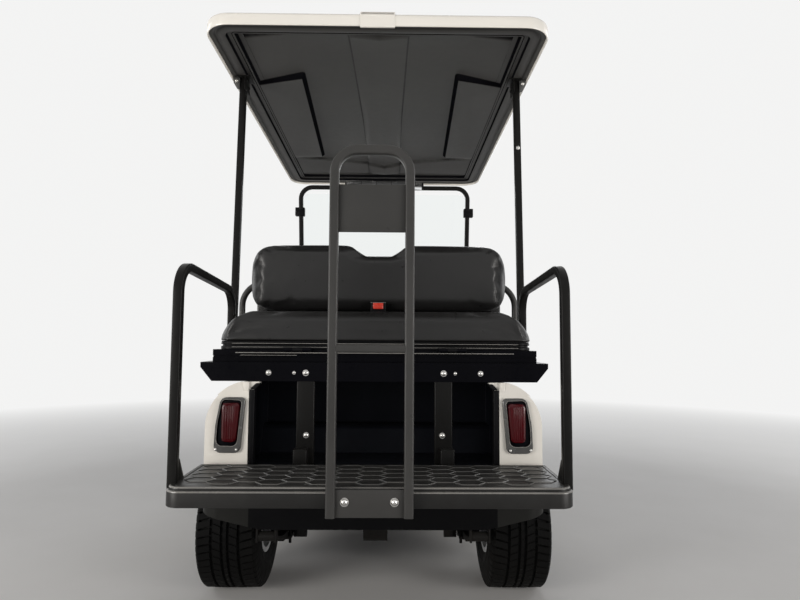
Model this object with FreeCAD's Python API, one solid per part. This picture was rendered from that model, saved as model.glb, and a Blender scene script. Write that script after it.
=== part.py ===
import FreeCAD, Part
import math
import os

# Golf cart with four seats: two face forward, two face the rear on a flip-over cushion.
# Millimetres.  +Y is the way it drives, +X its right side, +Z up.
# The origin is on the ground, midway between the grab hoop's rear face and the bumper's front face.

V = FreeCAD.Vector

# Sizes.
# wheels and where they stand
WHEELBASE = 1664.0
REAR_TRACK = 970.0
FRONT_TRACK = 900.0
TYRE_D = 458.0
TYRE_W = 208.0
BEAD_D = 208.0           # inner edge of the tyre, on an 8 inch rim
RIM_WALL = 4.0
HUB_D = 84.0             # wheel centre, with the dust cap in it
SPINDLE_D = 28.0
FIT = 0.3                # running or seating gap

REAR_OVERHANG = 656.0    # rear axle to the grab hoop's rear face
FRONT_OVERHANG = 380.0   # front axle to the bumper's front face

REAR_AXLE_Y = (REAR_OVERHANG - WHEELBASE - FRONT_OVERHANG) / 2.0
FRONT_AXLE_Y = REAR_AXLE_Y + WHEELBASE
AXLE_Z = TYRE_D / 2.0

# chassis
RAIL_W = 40.0
RAIL_H = 60.0
RAIL_LOW_Z = 252.0       # rail centre under the floor
RAIL_HIGH_Z = 345.0      # rail centre over both axles
SPRING_W = 50.0
LEAF_T = 7.0
SPRING_TO_TYRE = 46.0    # middle of a rear spring to the tyre's inner side
RAIL_TO_SPRING = 145.0   # middle of a main rail to the middle of the rear spring
REAR_SPRING_X = REAR_TRACK / 2.0 - TYRE_W / 2.0 - SPRING_TO_TYRE
RAIL_X = REAR_SPRING_X - RAIL_TO_SPRING

# steering
KINGPIN_IN = 60.0        # kingpin, inboard of the wheel's middle
KINGPIN_X = FRONT_TRACK / 2.0 - KINGPIN_IN
KINGPIN_D = 18.0
STEER_ARM = 125.0        # kingpin to tie rod, rearwards
ARM_IN = 88.0            # how far inboard of the kingpin the arm's end is
TIE_ROD_D = 18.0
AXLE_BEAM = 50.0
WHEEL_D = 340.0          # steering wheel
COLUMN_X = -280.0
COLUMN_TOP = (980.0, 930.0)     # y from the rear axle, z: centre of the steering wheel
COLUMN_FOOT = (-309.0, 501.0)   # y from the front axle, z: where it meets the toe board
COLUMN_D = 44.0

# floor and body panels
FLOOR_TOP = 300.0
FLOOR_T = 18.0
WALL = 5.0               # moulded body panels
BODY_HALF_W = 540.0
WIDE = BODY_HALF_W + 160.0      # half length of cuts that go right across
BODY_REAR = 325.0        # rear face, behind the rear axle
BODY_TOP = 740.0         # under the rear seat base
SEAT_BOX_TOP = 680.0     # under the front seat
SHOULDER_R = 140.0
STEP_Y = 105.0           # where the body drops from one top to the other
SEAT_BOX_FRONT = 700.0
QUARTER_BOTTOM = 430.0
ARCH_R = 300.0
FRONT_ARCH_R = 296.0
QUARTER_W = 136.0        # panel each side of the bagwell
BAGWELL_HALF_W = BODY_HALF_W - QUARTER_W
BAGWELL_FLOOR = 482.0
BAGWELL_DEPTH = 315.0
LINER_T = 4.0

# rear seat
SEAT_BASE_IN = 15.0      # seat base, inside the body's sides
APRON_OUT = 15.0         # its apron, outside them
SEAT_BASE_HALF_W = BODY_HALF_W - SEAT_BASE_IN
SEAT_BASE_TOP = 840.0
APRON_TOP = 800.0
APRON_HALF_W = BODY_HALF_W + APRON_OUT
APRON_REAR = 300.0
FLIP_AXIS_Y = -285.0     # from the rear axle
HINGE_R = 8.0
PAN_T = 27.7
CUSHION_GAP = 13.0       # cushion's end to the side rail
CUSHION_HALF_W = SEAT_BASE_HALF_W - CUSHION_GAP
CUSHION_T = 97.0
REAR_CUSHION_Y = (-249.0, 34.0)
BACKREST_HALF_W = CUSHION_HALF_W - 17.0
BACKREST_Z = (975.0, 1250.0)
BACKREST_T = 78.0
FRONT_BACKREST_Z = (905.0, 1225.0)
REAR_BACKREST_Y = 60.0
SCOOP_HALF_W = 110.0
SCOOP_DEPTH = 48.0
FRAME_TUBE = 25.0

# front seat
FRONT_PAN_T = 19.7
FRONT_CUSHION_Y = (235.0, 690.0)
FRONT_CUSHION_T = 100.0
LID_AXIS = (225.0, 690.0)        # y from the rear axle, z

# black tube work
TUBE = 32.0
RAIL_TOP = 1094.0
RAIL_BEND_R = 75.0
SIDE_RAIL_FRONT_Y = -48.0
SIDE_RAIL_REAR_Y = -570.0
DECK_HALF_W = SEAT_BASE_HALF_W   # the side rails stand against both
DECK_TOP = 490.0
DECK_LIP = 52.0
DECK_FRONT = 340.0
DECK_WALL = 5.0
HOOP_W = 225.0
HOOP_TOP = 1390.0
HOOP_FOOT = 420.0
HOOP_BEND_R = 62.0
HOOP_PLATE_Z = (1156.0, 1284.0)
HOOP_BAR_Z = (829.0, 861.0)
SUPPORT_W = 57.0
SUPPORT_X = RAIL_X + SUPPORT_W / 2.0 + 0.5
BRACKET_W = 43.0

# roof and struts
STRUT = 25.0
STRUT_LEAN = 66.0        # how far the rear strut leans forwards on its way up
ROOF_REAR = 330.0
ROOF_L = 1700.0
ROOF_OUT = 35.0          # roof's edge, outside the body's sides
ROOF_HALF_W = BODY_HALF_W + ROOF_OUT
ROOF_REAR_Z = 1900.0     # lower edge of the rim at the rear
ROOF_SLOPE = 2.2         # degrees, falling to the front
ROOF_RIM = 55.0
ROOF_CROWN = 16.0
ROOF_WALL = 4.0
ROOF_CORNER_R = 64.0
FRONT_STRUT_IN = 40.0    # front strut's legs, inside the body's sides
FRONT_STRUT_HALF = BODY_HALF_W - FRONT_STRUT_IN
FRONT_STRUT_FOOT = (-244.0, 850.0)      # y from the front axle, z
FRONT_STRUT_TOP = (-414.0, 1785.0)
FRONT_STRUT_BEND_R = 70.0
GLASS_T = 5.0

# front end, measured from the front axle
COWL_REAR = -284.0
COWL_BOTTOM = 330.0
COWL_BASE_Z = 880.0
BUMPER_Z = (250.0, 330.0)
BUMPER_DEPTH = 80.0
DASH_DEPTH = 130.0

# tail lamps
LAMP_X = BAGWELL_HALF_W + 58.0
LAMP_Z = 607.0
BEZEL = (98.0, 176.0)
LENS = (58.0, 136.0)
LAMP_LEAN = 5.0          # degrees, tops towards the middle


# Tools.
def rear(y):
    """Y of a place that is measured from the rear axle."""
    return REAR_AXLE_Y + y


def front(y):
    """Y of a place that is measured from the front axle."""
    return FRONT_AXLE_Y + y


def box(x, y, z):
    """A box from three (low, high) pairs."""
    return Part.makeBox(x[1] - x[0], y[1] - y[0], z[1] - z[0], V(x[0], y[0], z[0]))


def rod(p, q, r):
    """A round bar of radius r from point p to point q."""
    p, q = V(*p), V(*q)
    return Part.makeCylinder(r, (q - p).Length, p, q - p)


def mirror_x(shape):
    """The same shape on the other side of the cart."""
    return shape.mirror(V(0, 0, 0), V(1, 0, 0))


def both(shape):
    """A shape with its mirror image, as separate solids."""
    return Part.makeCompound([shape, mirror_x(shape)])


def fuse(shapes):
    """One solid from shapes that meet."""
    whole = shapes[0].multiFuse(shapes[1:]) if len(shapes) > 1 else shapes[0]
    return whole.removeSplitter()


def corner(a, b, c, r):
    """Tangent points and middle of the arc of radius r that rounds the corner at b."""
    ab, cb = (a - b), (c - b)
    ab.normalize()
    cb.normalize()
    half = math.acos(max(-1.0, min(1.0, ab.dot(cb)))) / 2.0
    run = r / math.tan(half)
    bisector = ab + cb
    bisector.normalize()
    centre = b + bisector * (r / math.sin(half))
    return b + ab * run, centre - bisector * r, b + cb * run


def path(points, closed):
    """Straight runs joined by tangent arcs; each point is (position, radius)."""
    count = len(points)
    ends = []
    for i, (p, r) in enumerate(points):
        if r <= 0 or (not closed and i in (0, count - 1)):
            ends.append((p, None, p))
        else:
            ends.append(corner(points[i - 1][0], p, points[(i + 1) % count][0], r))
    edges = []
    for i in range(count):
        start, middle, stop = ends[i]
        if middle is not None:
            edges.append(Part.Arc(start, middle, stop).toShape())
        if i < count - 1 or closed:
            following = ends[(i + 1) % count][0]
            if (following - stop).Length > 1e-6:
                edges.append(Part.LineSegment(stop, following).toShape())
    return Part.Wire(edges)


PLACE = {
    "x": lambda u, v, w: V(w, u, v),     # outline in Y and Z, drawn out along X
    "y": lambda u, v, w: V(u, w, v),     # outline in X and Z, drawn out along Y
    "z": lambda u, v, w: V(u, v, w),     # outline in X and Y, drawn out along Z
}


def prism(axis, outline, low, high):
    """A closed outline of (u, v, radius) corners, drawn out along an axis from low to high."""
    place = PLACE[axis]
    wire = path([(place(u, v, low), r) for u, v, r in outline], True)
    return Part.Face(wire).extrude(place(0, 0, high - low))


def inset(outline, t):
    """The outline moved inwards by t on every side."""
    flat = [V(u, v, 0) for u, v, r in outline]
    area = sum(flat[i - 1].x * flat[i].y - flat[i].x * flat[i - 1].y for i in range(len(flat)))
    turn = 1.0 if area > 0 else -1.0
    moved = []
    for i, (u, v, r) in enumerate(outline):
        before, here, after = flat[i - 1], flat[i], flat[(i + 1) % len(flat)]
        d1, d2 = here - before, after - here
        d1.normalize()
        d2.normalize()
        n1, n2 = V(-d1.y, d1.x, 0) * turn, V(-d2.y, d2.x, 0) * turn
        cross = (d1.x * d2.y - d1.y * d2.x) * turn
        shift = (n1 + n2) * (t / (1.0 + n1.dot(n2)))
        new_r = max(0.0, r - t if cross > 0 else r + t) if r > 0 else 0.0
        moved.append((here.x + shift.x, here.y + shift.y, new_r))
    return moved


def band(points, side):
    """The outline of a bar of width side along an open line of (u, v, bend radius) points."""
    flat = [V(u, v, 0) for u, v, r in points]
    left, right = [], []
    last = len(flat) - 1
    for i, (u, v, r) in enumerate(points):
        d1 = flat[i] - flat[max(i - 1, 0)] if i > 0 else flat[1] - flat[0]
        d2 = flat[min(i + 1, last)] - flat[i] if i < last else flat[last] - flat[last - 1]
        d1.normalize()
        d2.normalize()
        n1, n2 = V(-d1.y, d1.x, 0), V(-d2.y, d2.x, 0)
        shift = (n1 + n2) * (side / 2.0 / (1.0 + n1.dot(n2)))
        cross = d1.x * d2.y - d1.y * d2.x
        toward = 0.0 if r <= 0 else (side / 2.0 if cross > 0 else -side / 2.0)
        left.append((flat[i].x + shift.x, flat[i].y + shift.y, max(0.0, r - toward)))
        right.append((flat[i].x - shift.x, flat[i].y - shift.y, max(0.0, r + toward)))
    return left + right[::-1]


def square_tube(axis, points, side, centre):
    """A bent square tube whose line lies in the plane across the axis."""
    return prism(axis, band(points, side), centre - side / 2.0, centre + side / 2.0)


def cushion(x, y, z, r_ends, r_edges, r_plan):
    """A padded block: rounded in front view, side view and plan."""
    (x0, x1), (y0, y1), (z0, z1) = x, y, z
    ends = prism("y", [(x0, z0, 8), (x1, z0, 8), (x1, z1, r_ends), (x0, z1, r_ends)], y0, y1)
    edges = prism("x", [(y0, z0, 8), (y1, z0, 8), (y1, z1, r_edges), (y0, z1, r_edges)], x0, x1)
    plan = prism("z", [(x0, y0, r_plan), (x1, y0, r_plan), (x1, y1, r_plan), (x0, y1, r_plan)],
                 z0, z1)
    return ends.common(edges).common(plan)


def slab(x, y, z, r):
    """A box with its four upright edges rounded."""
    return prism("z", [(x[0], y[0], r), (x[1], y[0], r), (x[1], y[1], r), (x[0], y[1], r)],
                 z[0], z[1])


def turned(outline):
    """A ring from an outline of (place along X, distance from X, radius), turned about X."""
    wire = path([(V(u, 0, v), r) for u, v, r in outline], True)
    return Part.Face(wire).revolve(V(0, 0, 0), V(1, 0, 0), 360.0)


def export(name, shape):
    """Write one node's STEP file."""
    shape.exportStep(os.path.join("parts", name + ".step"))
    NODES.append((name, len(shape.Solids)))


NODES = []
os.makedirs("parts", exist_ok=True)

# Wheels.
HALF_TYRE = TYRE_W / 2.0
TYRE_R = TYRE_D / 2.0
BEAD_R = BEAD_D / 2.0
BEAD_X = HALF_TYRE - 18.0        # where the tyre sits in the rim's flange

tyre = turned([
    (-BEAD_X, BEAD_R, 0), (-BEAD_X - 3, BEAD_R + 14, 0), (-HALF_TYRE, BEAD_R + 48, 34),
    (-HALF_TYRE + 4, TYRE_R - 26, 20), (-HALF_TYRE + 22, TYRE_R, 16),
    (HALF_TYRE - 22, TYRE_R, 16), (HALF_TYRE - 4, TYRE_R - 26, 20),
    (HALF_TYRE, BEAD_R + 48, 34), (BEAD_X + 3, BEAD_R + 14, 0), (BEAD_X, BEAD_R, 0)])

# The rim's barrel has a flange at each side of the tyre; its disc stands outboard of the middle.
BARREL_R = BEAD_R - FIT
DISC_X = 34.0
HUB_R = HUB_D / 2.0
HUB_IN = -10.0
CAP_X = 78.0
BORE_R = SPINDLE_D / 2.0 + FIT
FLANGE_X = BEAD_X + 3.0 + FIT
VENTS = 8

rim = turned([
    (-FLANGE_X - 5, BARREL_R - RIM_WALL, 0), (DISC_X, BARREL_R - RIM_WALL, 5),
    (DISC_X + 12, HUB_R + 12, 6), (DISC_X, HUB_R, 3), (HUB_IN, HUB_R, 3), (HUB_IN, BORE_R, 0),
    (CAP_X - 12, BORE_R, 0), (CAP_X - 12, 0, 0), (CAP_X, 0, 0), (CAP_X, HUB_R - 12, 8),
    (DISC_X + 18, HUB_R - 6, 4), (DISC_X + 18, HUB_R + 14, 4),
    (DISC_X + 6, BARREL_R - RIM_WALL - 6, 6), (FLANGE_X + 5, BARREL_R - RIM_WALL, 4),
    (FLANGE_X + 5, BEAD_R + 12, 0), (FLANGE_X, BEAD_R + 12, 0), (FLANGE_X, BARREL_R, 0),
    (-FLANGE_X, BARREL_R, 0), (-FLANGE_X, BEAD_R + 12, 0), (-FLANGE_X - 5, BEAD_R + 12, 0)])
VENT_RING_R = (HUB_R + 14 + BARREL_R - RIM_WALL) / 2.0
for i in range(VENTS):
    hole = rod((DISC_X - 30, 0, VENT_RING_R), (DISC_X + 60, 0, VENT_RING_R), 11.0)
    hole.rotate(V(0, 0, 0), V(1, 0, 0), 360.0 * (i + 0.5) / VENTS)
    rim = rim.cut(hole)

# name, sign of X, half track, Y of the axle
WHEELS = [
    ("front_left", -1, FRONT_TRACK / 2.0, FRONT_AXLE_Y),
    ("front_right", 1, FRONT_TRACK / 2.0, FRONT_AXLE_Y),
    ("rear_left", -1, REAR_TRACK / 2.0, REAR_AXLE_Y),
    ("rear_right", 1, REAR_TRACK / 2.0, REAR_AXLE_Y),
]
for name, side, half_track, y in WHEELS:
    for piece, shape in (("tyre", tyre), ("rim", rim)):
        placed = shape.copy() if side > 0 else mirror_x(shape)
        placed.translate(V(side * half_track, y, AXLE_Z))
        export(piece + "_" + name, placed)

# Rear axle with its motor.
AXLE_TUBE_R = 32.0
REAR_HUB_X = REAR_TRACK / 2.0 + HUB_IN     # inner end of the rear hub
DRUM_R = BARREL_R - RIM_WALL - 12.0
BACKPLATE_T = 46.0
SPINDLE_END = REAR_TRACK / 2.0 + CAP_X - 12.0 - FIT

half_axle = fuse([
    rod((0, REAR_AXLE_Y, AXLE_Z), (REAR_HUB_X - BACKPLATE_T, REAR_AXLE_Y, AXLE_Z), AXLE_TUBE_R),
    rod((REAR_HUB_X - BACKPLATE_T, REAR_AXLE_Y, AXLE_Z), (REAR_HUB_X - FIT, REAR_AXLE_Y, AXLE_Z),
        DRUM_R),
    rod((REAR_HUB_X - 10, REAR_AXLE_Y, AXLE_Z), (SPINDLE_END, REAR_AXLE_Y, AXLE_Z),
        SPINDLE_D / 2.0)])
GEAR_CASE_R = 88.0
GEAR_CASE_W = 84.0
MOTOR_R = 84.0
MOTOR_Y = 190.0
MOTOR_L = 235.0
gear_case = prism("x", [
    (rear(-GEAR_CASE_R), AXLE_Z - 70, 50), (rear(-GEAR_CASE_R), AXLE_Z + 84, 50),
    (rear(MOTOR_Y + 70), AXLE_Z + 84, 40), (rear(MOTOR_Y + 70), AXLE_Z - 55, 40)],
    -GEAR_CASE_W / 2.0, GEAR_CASE_W / 2.0)
motor = fuse([
    rod((GEAR_CASE_W / 2.0, rear(MOTOR_Y), AXLE_Z + 12),
        (GEAR_CASE_W / 2.0 + MOTOR_L, rear(MOTOR_Y), AXLE_Z + 12), MOTOR_R - 14),
    rod((GEAR_CASE_W / 2.0 + 22, rear(MOTOR_Y), AXLE_Z + 12),
        (GEAR_CASE_W / 2.0 + MOTOR_L - 24, rear(MOTOR_Y), AXLE_Z + 12), MOTOR_R - 4)])
export("rear_axle", fuse([half_axle, mirror_x(half_axle), gear_case]))
export("motor", motor)

# Springs and dampers.
REAR_SPAN = 285.0        # half length of a rear spring
REAR_RISE = 62.0         # its eyes above its middle
FRONT_SPAN = 222.0
FRONT_RISE = 26.0
EYE_R = 15.0
REAR_SPRING_TOP = AXLE_Z - AXLE_TUBE_R
FRONT_SPRING_TOP = AXLE_Z + AXLE_BEAM / 2.0 + 3 * LEAF_T


def leaf_pack(x, y, top, span, rise):
    """Three stacked leaves, arched up at their ends, with an eye at both ends of the top leaf."""
    radius = (span * span + rise * rise) / (2.0 * rise)
    centre = V(x, y, top + radius)
    solids = []
    for number, share in enumerate((1.0, 0.72, 0.46)):
        reach = share * span
        inner, outer = radius + number * LEAF_T, radius + (number + 1) * LEAF_T
        sweep = math.asin(reach / radius)

        def at(r, angle):
            return V(x - SPRING_W / 2.0, centre.y + r * math.sin(angle),
                     centre.z - r * math.cos(angle))
        wire = Part.Wire([
            Part.Arc(at(inner, -sweep), at(inner, 0), at(inner, sweep)).toShape(),
            Part.LineSegment(at(inner, sweep), at(outer, sweep)).toShape(),
            Part.Arc(at(outer, sweep), at(outer, 0), at(outer, -sweep)).toShape(),
            Part.LineSegment(at(outer, -sweep), at(inner, -sweep)).toShape()])
        solids.append(Part.Face(wire).extrude(V(SPRING_W, 0, 0)))
    for end in (-1, 1):
        eye_y = y + end * span
        eye_z = top + rise - LEAF_T / 2.0
        solids.append(rod((x - SPRING_W / 2.0, eye_y, eye_z), (x + SPRING_W / 2.0, eye_y, eye_z),
                          EYE_R))
    return solids


def u_bolts(x, y, low, high, half):
    """A clamp plate under the spring and four threaded legs up beside the axle."""
    plate = box((x - SPRING_W / 2.0 - 12, x + SPRING_W / 2.0 + 12), (y - half - 14, y + half + 14),
                (low - 8, low + 2))
    legs = [rod((x + sx * (SPRING_W / 2.0 + 6), y + sy * half, low - 24),
                (x + sx * (SPRING_W / 2.0 + 6), y + sy * half, high), 5.0)
            for sx in (-1, 1) for sy in (-1, 1)]
    return [plate] + legs


rear_spring = fuse(leaf_pack(REAR_SPRING_X, REAR_AXLE_Y, REAR_SPRING_TOP, REAR_SPAN, REAR_RISE)
                   + u_bolts(REAR_SPRING_X, REAR_AXLE_Y, REAR_SPRING_TOP - 3 * LEAF_T,
                             AXLE_Z + 4, AXLE_TUBE_R + 7))
front_spring = fuse(leaf_pack(RAIL_X, FRONT_AXLE_Y, FRONT_SPRING_TOP, FRONT_SPAN, FRONT_RISE))
DAMPER_X = (RAIL_X + REAR_SPRING_X) / 2.0
DAMPER_R = 21.0
DAMPER_FOOT = (-70.0, 196.0)
DAMPER_HEAD = (-120.0, 392.0)
damper_mid = tuple((a + b) / 2.0 for a, b in zip(DAMPER_FOOT, DAMPER_HEAD))
damper = fuse([
    rod((DAMPER_X, rear(DAMPER_FOOT[0]), DAMPER_FOOT[1]),
        (DAMPER_X, rear(damper_mid[0]), damper_mid[1] + 20), DAMPER_R),
    rod((DAMPER_X, rear(damper_mid[0]), damper_mid[1]),
        (DAMPER_X, rear(DAMPER_HEAD[0]), DAMPER_HEAD[1]), 8.0),
    rod((DAMPER_X - 22, rear(DAMPER_FOOT[0]), DAMPER_FOOT[1]),
        (DAMPER_X + 22, rear(DAMPER_FOOT[0]), DAMPER_FOOT[1]), 13.0),
    box((DAMPER_X - 10, DAMPER_X + 10), (rear(DAMPER_FOOT[0] - 8), rear(-AXLE_TUBE_R + 6)),
        (DAMPER_FOOT[1] - 8, DAMPER_FOOT[1] + 18))])
damper = damper.cut(rod((0, REAR_AXLE_Y, AXLE_Z), (WIDE, REAR_AXLE_Y, AXLE_Z), AXLE_TUBE_R))
export("springs", Part.makeCompound([rear_spring, mirror_x(rear_spring),
                                     front_spring, mirror_x(front_spring)]))
export("dampers", both(damper))

# Chassis frame.
RAIL_REAR = -290.0
RAIL_FRONT = FRONT_OVERHANG - BUMPER_DEPTH     # the bumper is bolted to the rails' ends
KICK = (-FRONT_SPAN - 116.0, -FRONT_SPAN - 32.0)   # where the rails rise behind the front springs
rail = prism("x", band([
    (rear(RAIL_REAR), RAIL_HIGH_Z, 0), (rear(150), RAIL_HIGH_Z, 60), (rear(300), RAIL_LOW_Z, 60),
    (front(KICK[0]), RAIL_LOW_Z, 44), (front(KICK[1]), RAIL_HIGH_Z, 44),
    (front(RAIL_FRONT), RAIL_HIGH_Z, 0)], RAIL_H), RAIL_X - RAIL_W / 2.0, RAIL_X + RAIL_W / 2.0)
RAIL_LOW_TOP = RAIL_LOW_Z + RAIL_H / 2.0
HIGH = (RAIL_HIGH_Z - 20, RAIL_HIGH_Z + 20)
LOW = (RAIL_LOW_TOP - 40, RAIL_LOW_TOP)
REAR_EYE_Z = REAR_SPRING_TOP + REAR_RISE - LEAF_T / 2.0
FRONT_EYE_Z = FRONT_SPRING_TOP + FRONT_RISE - LEAF_T / 2.0
OUTRIGGER = BODY_HALF_W

# half length in X, Y of the middle, (low, high) in Z
CROSS_MEMBERS = [
    (REAR_SPRING_X + 30, rear(-REAR_SPAN + 10), HIGH),
    (REAR_SPRING_X + 30, rear(REAR_SPAN), (LOW[0] + 12, LOW[1])),
    (OUTRIGGER, rear(SEAT_BOX_FRONT - 40), LOW),
    (OUTRIGGER, rear(330), LOW),
    (OUTRIGGER, front(-410), LOW),
    (RAIL_X, front(-250), HIGH),
    (RAIL_X + 40, front(RAIL_FRONT - 20), HIGH),
    (RAIL_X, rear(-110), (HIGH[0] + 20, HIGH[1] + 20)),
]
members = [box((-half, half), (y - 20, y + 20), z) for half, y, z in CROSS_MEMBERS]
hangers = []
for side in (-1, 1):
    x = side * REAR_SPRING_X
    for cheek in (-1, 1):
        cx = x + cheek * (SPRING_W / 2.0 + 4)
        hangers.append(box((cx - 3, cx + 3), (rear(-REAR_SPAN - 15), rear(-REAR_SPAN + 15)),
                           (REAR_EYE_Z - 16, HIGH[0] + 2)))
        hangers.append(box((cx - 3, cx + 3), (rear(REAR_SPAN - 15), rear(REAR_SPAN + 15)),
                           (REAR_EYE_Z - 22, LOW[1])))
        fx = side * RAIL_X + cheek * (SPRING_W / 2.0 + 3)
        for end in (-1, 1):
            hangers.append(box((fx - 2.5, fx + 2.5),
                               (front(end * FRONT_SPAN - 14), front(end * FRONT_SPAN + 14)),
                               (FRONT_EYE_Z - 16, RAIL_HIGH_Z)))
            hangers.append(box((side * RAIL_X - SPRING_W / 2.0 - 3, side * RAIL_X + SPRING_W / 2.0 + 3),
                               (front(end * FRONT_SPAN - 14), front(end * FRONT_SPAN + 14)),
                               (RAIL_HIGH_Z - 8, RAIL_HIGH_Z + 8)))
frame = fuse([rail, mirror_x(rail)] + members + hangers)
frame = frame.cut(Part.makeCompound([rear_spring, mirror_x(rear_spring), front_spring,
                                     mirror_x(front_spring), motor, both(damper)]))
export("chassis_frame", frame)

BATTERY_HALF_W = BODY_HALF_W - 150.0
BATTERY_Y = (352.0, 640.0)
BATTERY_Z = (LOW[1], 570.0)
export("battery_block", slab((-BATTERY_HALF_W, BATTERY_HALF_W),
                             (rear(BATTERY_Y[0]), rear(BATTERY_Y[1])), BATTERY_Z, 12.0))

# Front axle, knuckles, tie rod.
BOSS_R = 22.0
BOSS_H = 76.0
YOKE_T = 14.0
YOKE_IN = KINGPIN_X - 55.0
PIN_R = KINGPIN_D / 2.0
boss_half = BOSS_H / 2.0
beam = box((0, YOKE_IN + 10), (front(-AXLE_BEAM / 2.0), front(AXLE_BEAM / 2.0)),
           (AXLE_Z - AXLE_BEAM / 2.0, AXLE_Z + AXLE_BEAM / 2.0))
yoke_z = boss_half + FIT + YOKE_T
yoke = [box((YOKE_IN, YOKE_IN + 14), (front(-24), front(24)), (AXLE_Z - yoke_z, AXLE_Z + yoke_z))]
for side in (-1, 1):
    low, high = sorted((AXLE_Z + side * (boss_half + FIT), AXLE_Z + side * yoke_z))
    ear = fuse([box((YOKE_IN + 6, KINGPIN_X), (front(-22), front(22)), (low, high)),
                rod((KINGPIN_X, FRONT_AXLE_Y, low), (KINGPIN_X, FRONT_AXLE_Y, high), 22.0)])
    yoke.append(ear)
half_beam = fuse([beam] + yoke)
half_beam = half_beam.cut(rod((KINGPIN_X, FRONT_AXLE_Y, AXLE_Z - 100),
                              (KINGPIN_X, FRONT_AXLE_Y, AXLE_Z + 100), PIN_R + FIT))

# The rack runs behind the beam in a housing that the beam carries.
TIE_ROD_Y = front(-STEER_ARM)
ARM_T = 12.0
ARM_TOP = AXLE_Z - yoke_z - FIT - 1.0
TIE_ROD_Z = ARM_TOP + 20.0
RACK_HALF = 120.0
TIE_ROD_R = TIE_ROD_D / 2.0
rack_housing = fuse([
    rod((-RACK_HALF, TIE_ROD_Y, TIE_ROD_Z), (RACK_HALF, TIE_ROD_Y, TIE_ROD_Z), TIE_ROD_R + 14),
    box((-RACK_HALF + 10, -RACK_HALF + 40), (TIE_ROD_Y, front(-AXLE_BEAM / 2.0)),
        (TIE_ROD_Z, AXLE_Z)),
    box((RACK_HALF - 40, RACK_HALF - 10), (TIE_ROD_Y, front(-AXLE_BEAM / 2.0)),
        (TIE_ROD_Z, AXLE_Z))])
rack_housing = rack_housing.cut(rod((-300, TIE_ROD_Y, TIE_ROD_Z), (300, TIE_ROD_Y, TIE_ROD_Z),
                                    TIE_ROD_R + FIT))
export("front_axle", fuse([half_beam, mirror_x(half_beam), rack_housing]))

SPINDLE_X = FRONT_TRACK / 2.0 + CAP_X - 12.0 - FIT
FRONT_HUB_X = FRONT_TRACK / 2.0 + HUB_IN
arm_end = (KINGPIN_X - ARM_IN, -STEER_ARM)
knuckle = fuse([
    rod((KINGPIN_X, FRONT_AXLE_Y, AXLE_Z - boss_half),
        (KINGPIN_X, FRONT_AXLE_Y, AXLE_Z + boss_half), BOSS_R),
    rod((KINGPIN_X, FRONT_AXLE_Y, ARM_TOP - ARM_T),
        (KINGPIN_X, FRONT_AXLE_Y, AXLE_Z + yoke_z + 6), PIN_R),
    rod((KINGPIN_X, FRONT_AXLE_Y, AXLE_Z), (SPINDLE_X, FRONT_AXLE_Y, AXLE_Z), SPINDLE_D / 2.0),
    rod((KINGPIN_X, FRONT_AXLE_Y, AXLE_Z), (FRONT_HUB_X - FIT, FRONT_AXLE_Y, AXLE_Z),
        SPINDLE_D / 2.0 + 6),
    prism("z", band([(KINGPIN_X, front(14), 0), (KINGPIN_X, front(-12), 12),
                     (arm_end[0], front(-68), 20), (arm_end[0], front(arm_end[1] - 15), 0)], 26.0),
          ARM_TOP - ARM_T, ARM_TOP)])
export("knuckle_right", knuckle)
export("knuckle_left", mirror_x(knuckle))

EYE_D = 30.0
half_rod = fuse([
    rod((0, TIE_ROD_Y, TIE_ROD_Z), (arm_end[0], TIE_ROD_Y, TIE_ROD_Z), TIE_ROD_R),
    rod((arm_end[0], TIE_ROD_Y, ARM_TOP + FIT), (arm_end[0], TIE_ROD_Y, TIE_ROD_Z + 13),
        EYE_D / 2.0)])
export("tie_rod", fuse([half_rod, mirror_x(half_rod)]))

# Floor, rockers, pedals.
TOE_TOP = 520.0          # the toe board turns upright here, against the cowl's rear wall
TOE_FLANGE = 60.0
TOE_Y = COWL_REAR - FLOOR_T / 2.0
floor_line = [
    (rear(SEAT_BOX_FRONT - 6), FLOOR_TOP - FLOOR_T / 2.0, 0),
    (front(TOE_Y - 52), FLOOR_TOP - FLOOR_T / 2.0, 40),
    (front(TOE_Y), TOE_TOP, 60),
    (front(TOE_Y), TOE_TOP + TOE_FLANGE, 0)]
floor = prism("x", band(floor_line, FLOOR_T), -BODY_HALF_W, BODY_HALF_W)

ROCKER_OUT = BODY_HALF_W + 22.0
ROCKER_Z = (224.0, 312.0)
rocker = prism("y", [(BODY_HALF_W, ROCKER_Z[0], 0), (ROCKER_OUT - 6, ROCKER_Z[0], 8),
                     (ROCKER_OUT, ROCKER_Z[1] - 20, 20), (ROCKER_OUT - 8, ROCKER_Z[1], 5),
                     (BODY_HALF_W, ROCKER_Z[1], 0)],
               rear(ARCH_R + 14), front(-FRONT_ARCH_R - 8))

# name of the pedal's X, width, height of the pad
PEDALS = [(-215.0, 95.0, 62.0), (-95.0, 62.0, 118.0)]
PEDAL_Z = 345.0
pedals = []
for x, width, height in PEDALS:
    pad = box((x - width / 2.0, x + width / 2.0), (front(-352), front(-342)),
              (PEDAL_Z, PEDAL_Z + height))
    pad.rotate(V(x, front(-347), PEDAL_Z), V(1, 0, 0), -28.0)
    stem = rod((x, front(-338), PEDAL_Z + height * 0.5), (x, front(-300), PEDAL_Z + 40), 9.0)
    pedals.append(fuse([pad, stem]))
pedals = [p.cut(floor) for p in pedals]
pedals = [max(p.Solids, key=lambda s: s.Volume) for p in pedals]

# Rear body and bagwell.
def body_section(top, t):
    """Front view of the body with its round shoulders, t inside the outer face."""
    half = BODY_HALF_W - t
    return [(-half, FLOOR_TOP - 40, 0), (half, FLOOR_TOP - 40, 0),
            (half, top - t, SHOULDER_R - t), (-half, top - t, SHOULDER_R - t)]


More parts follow.
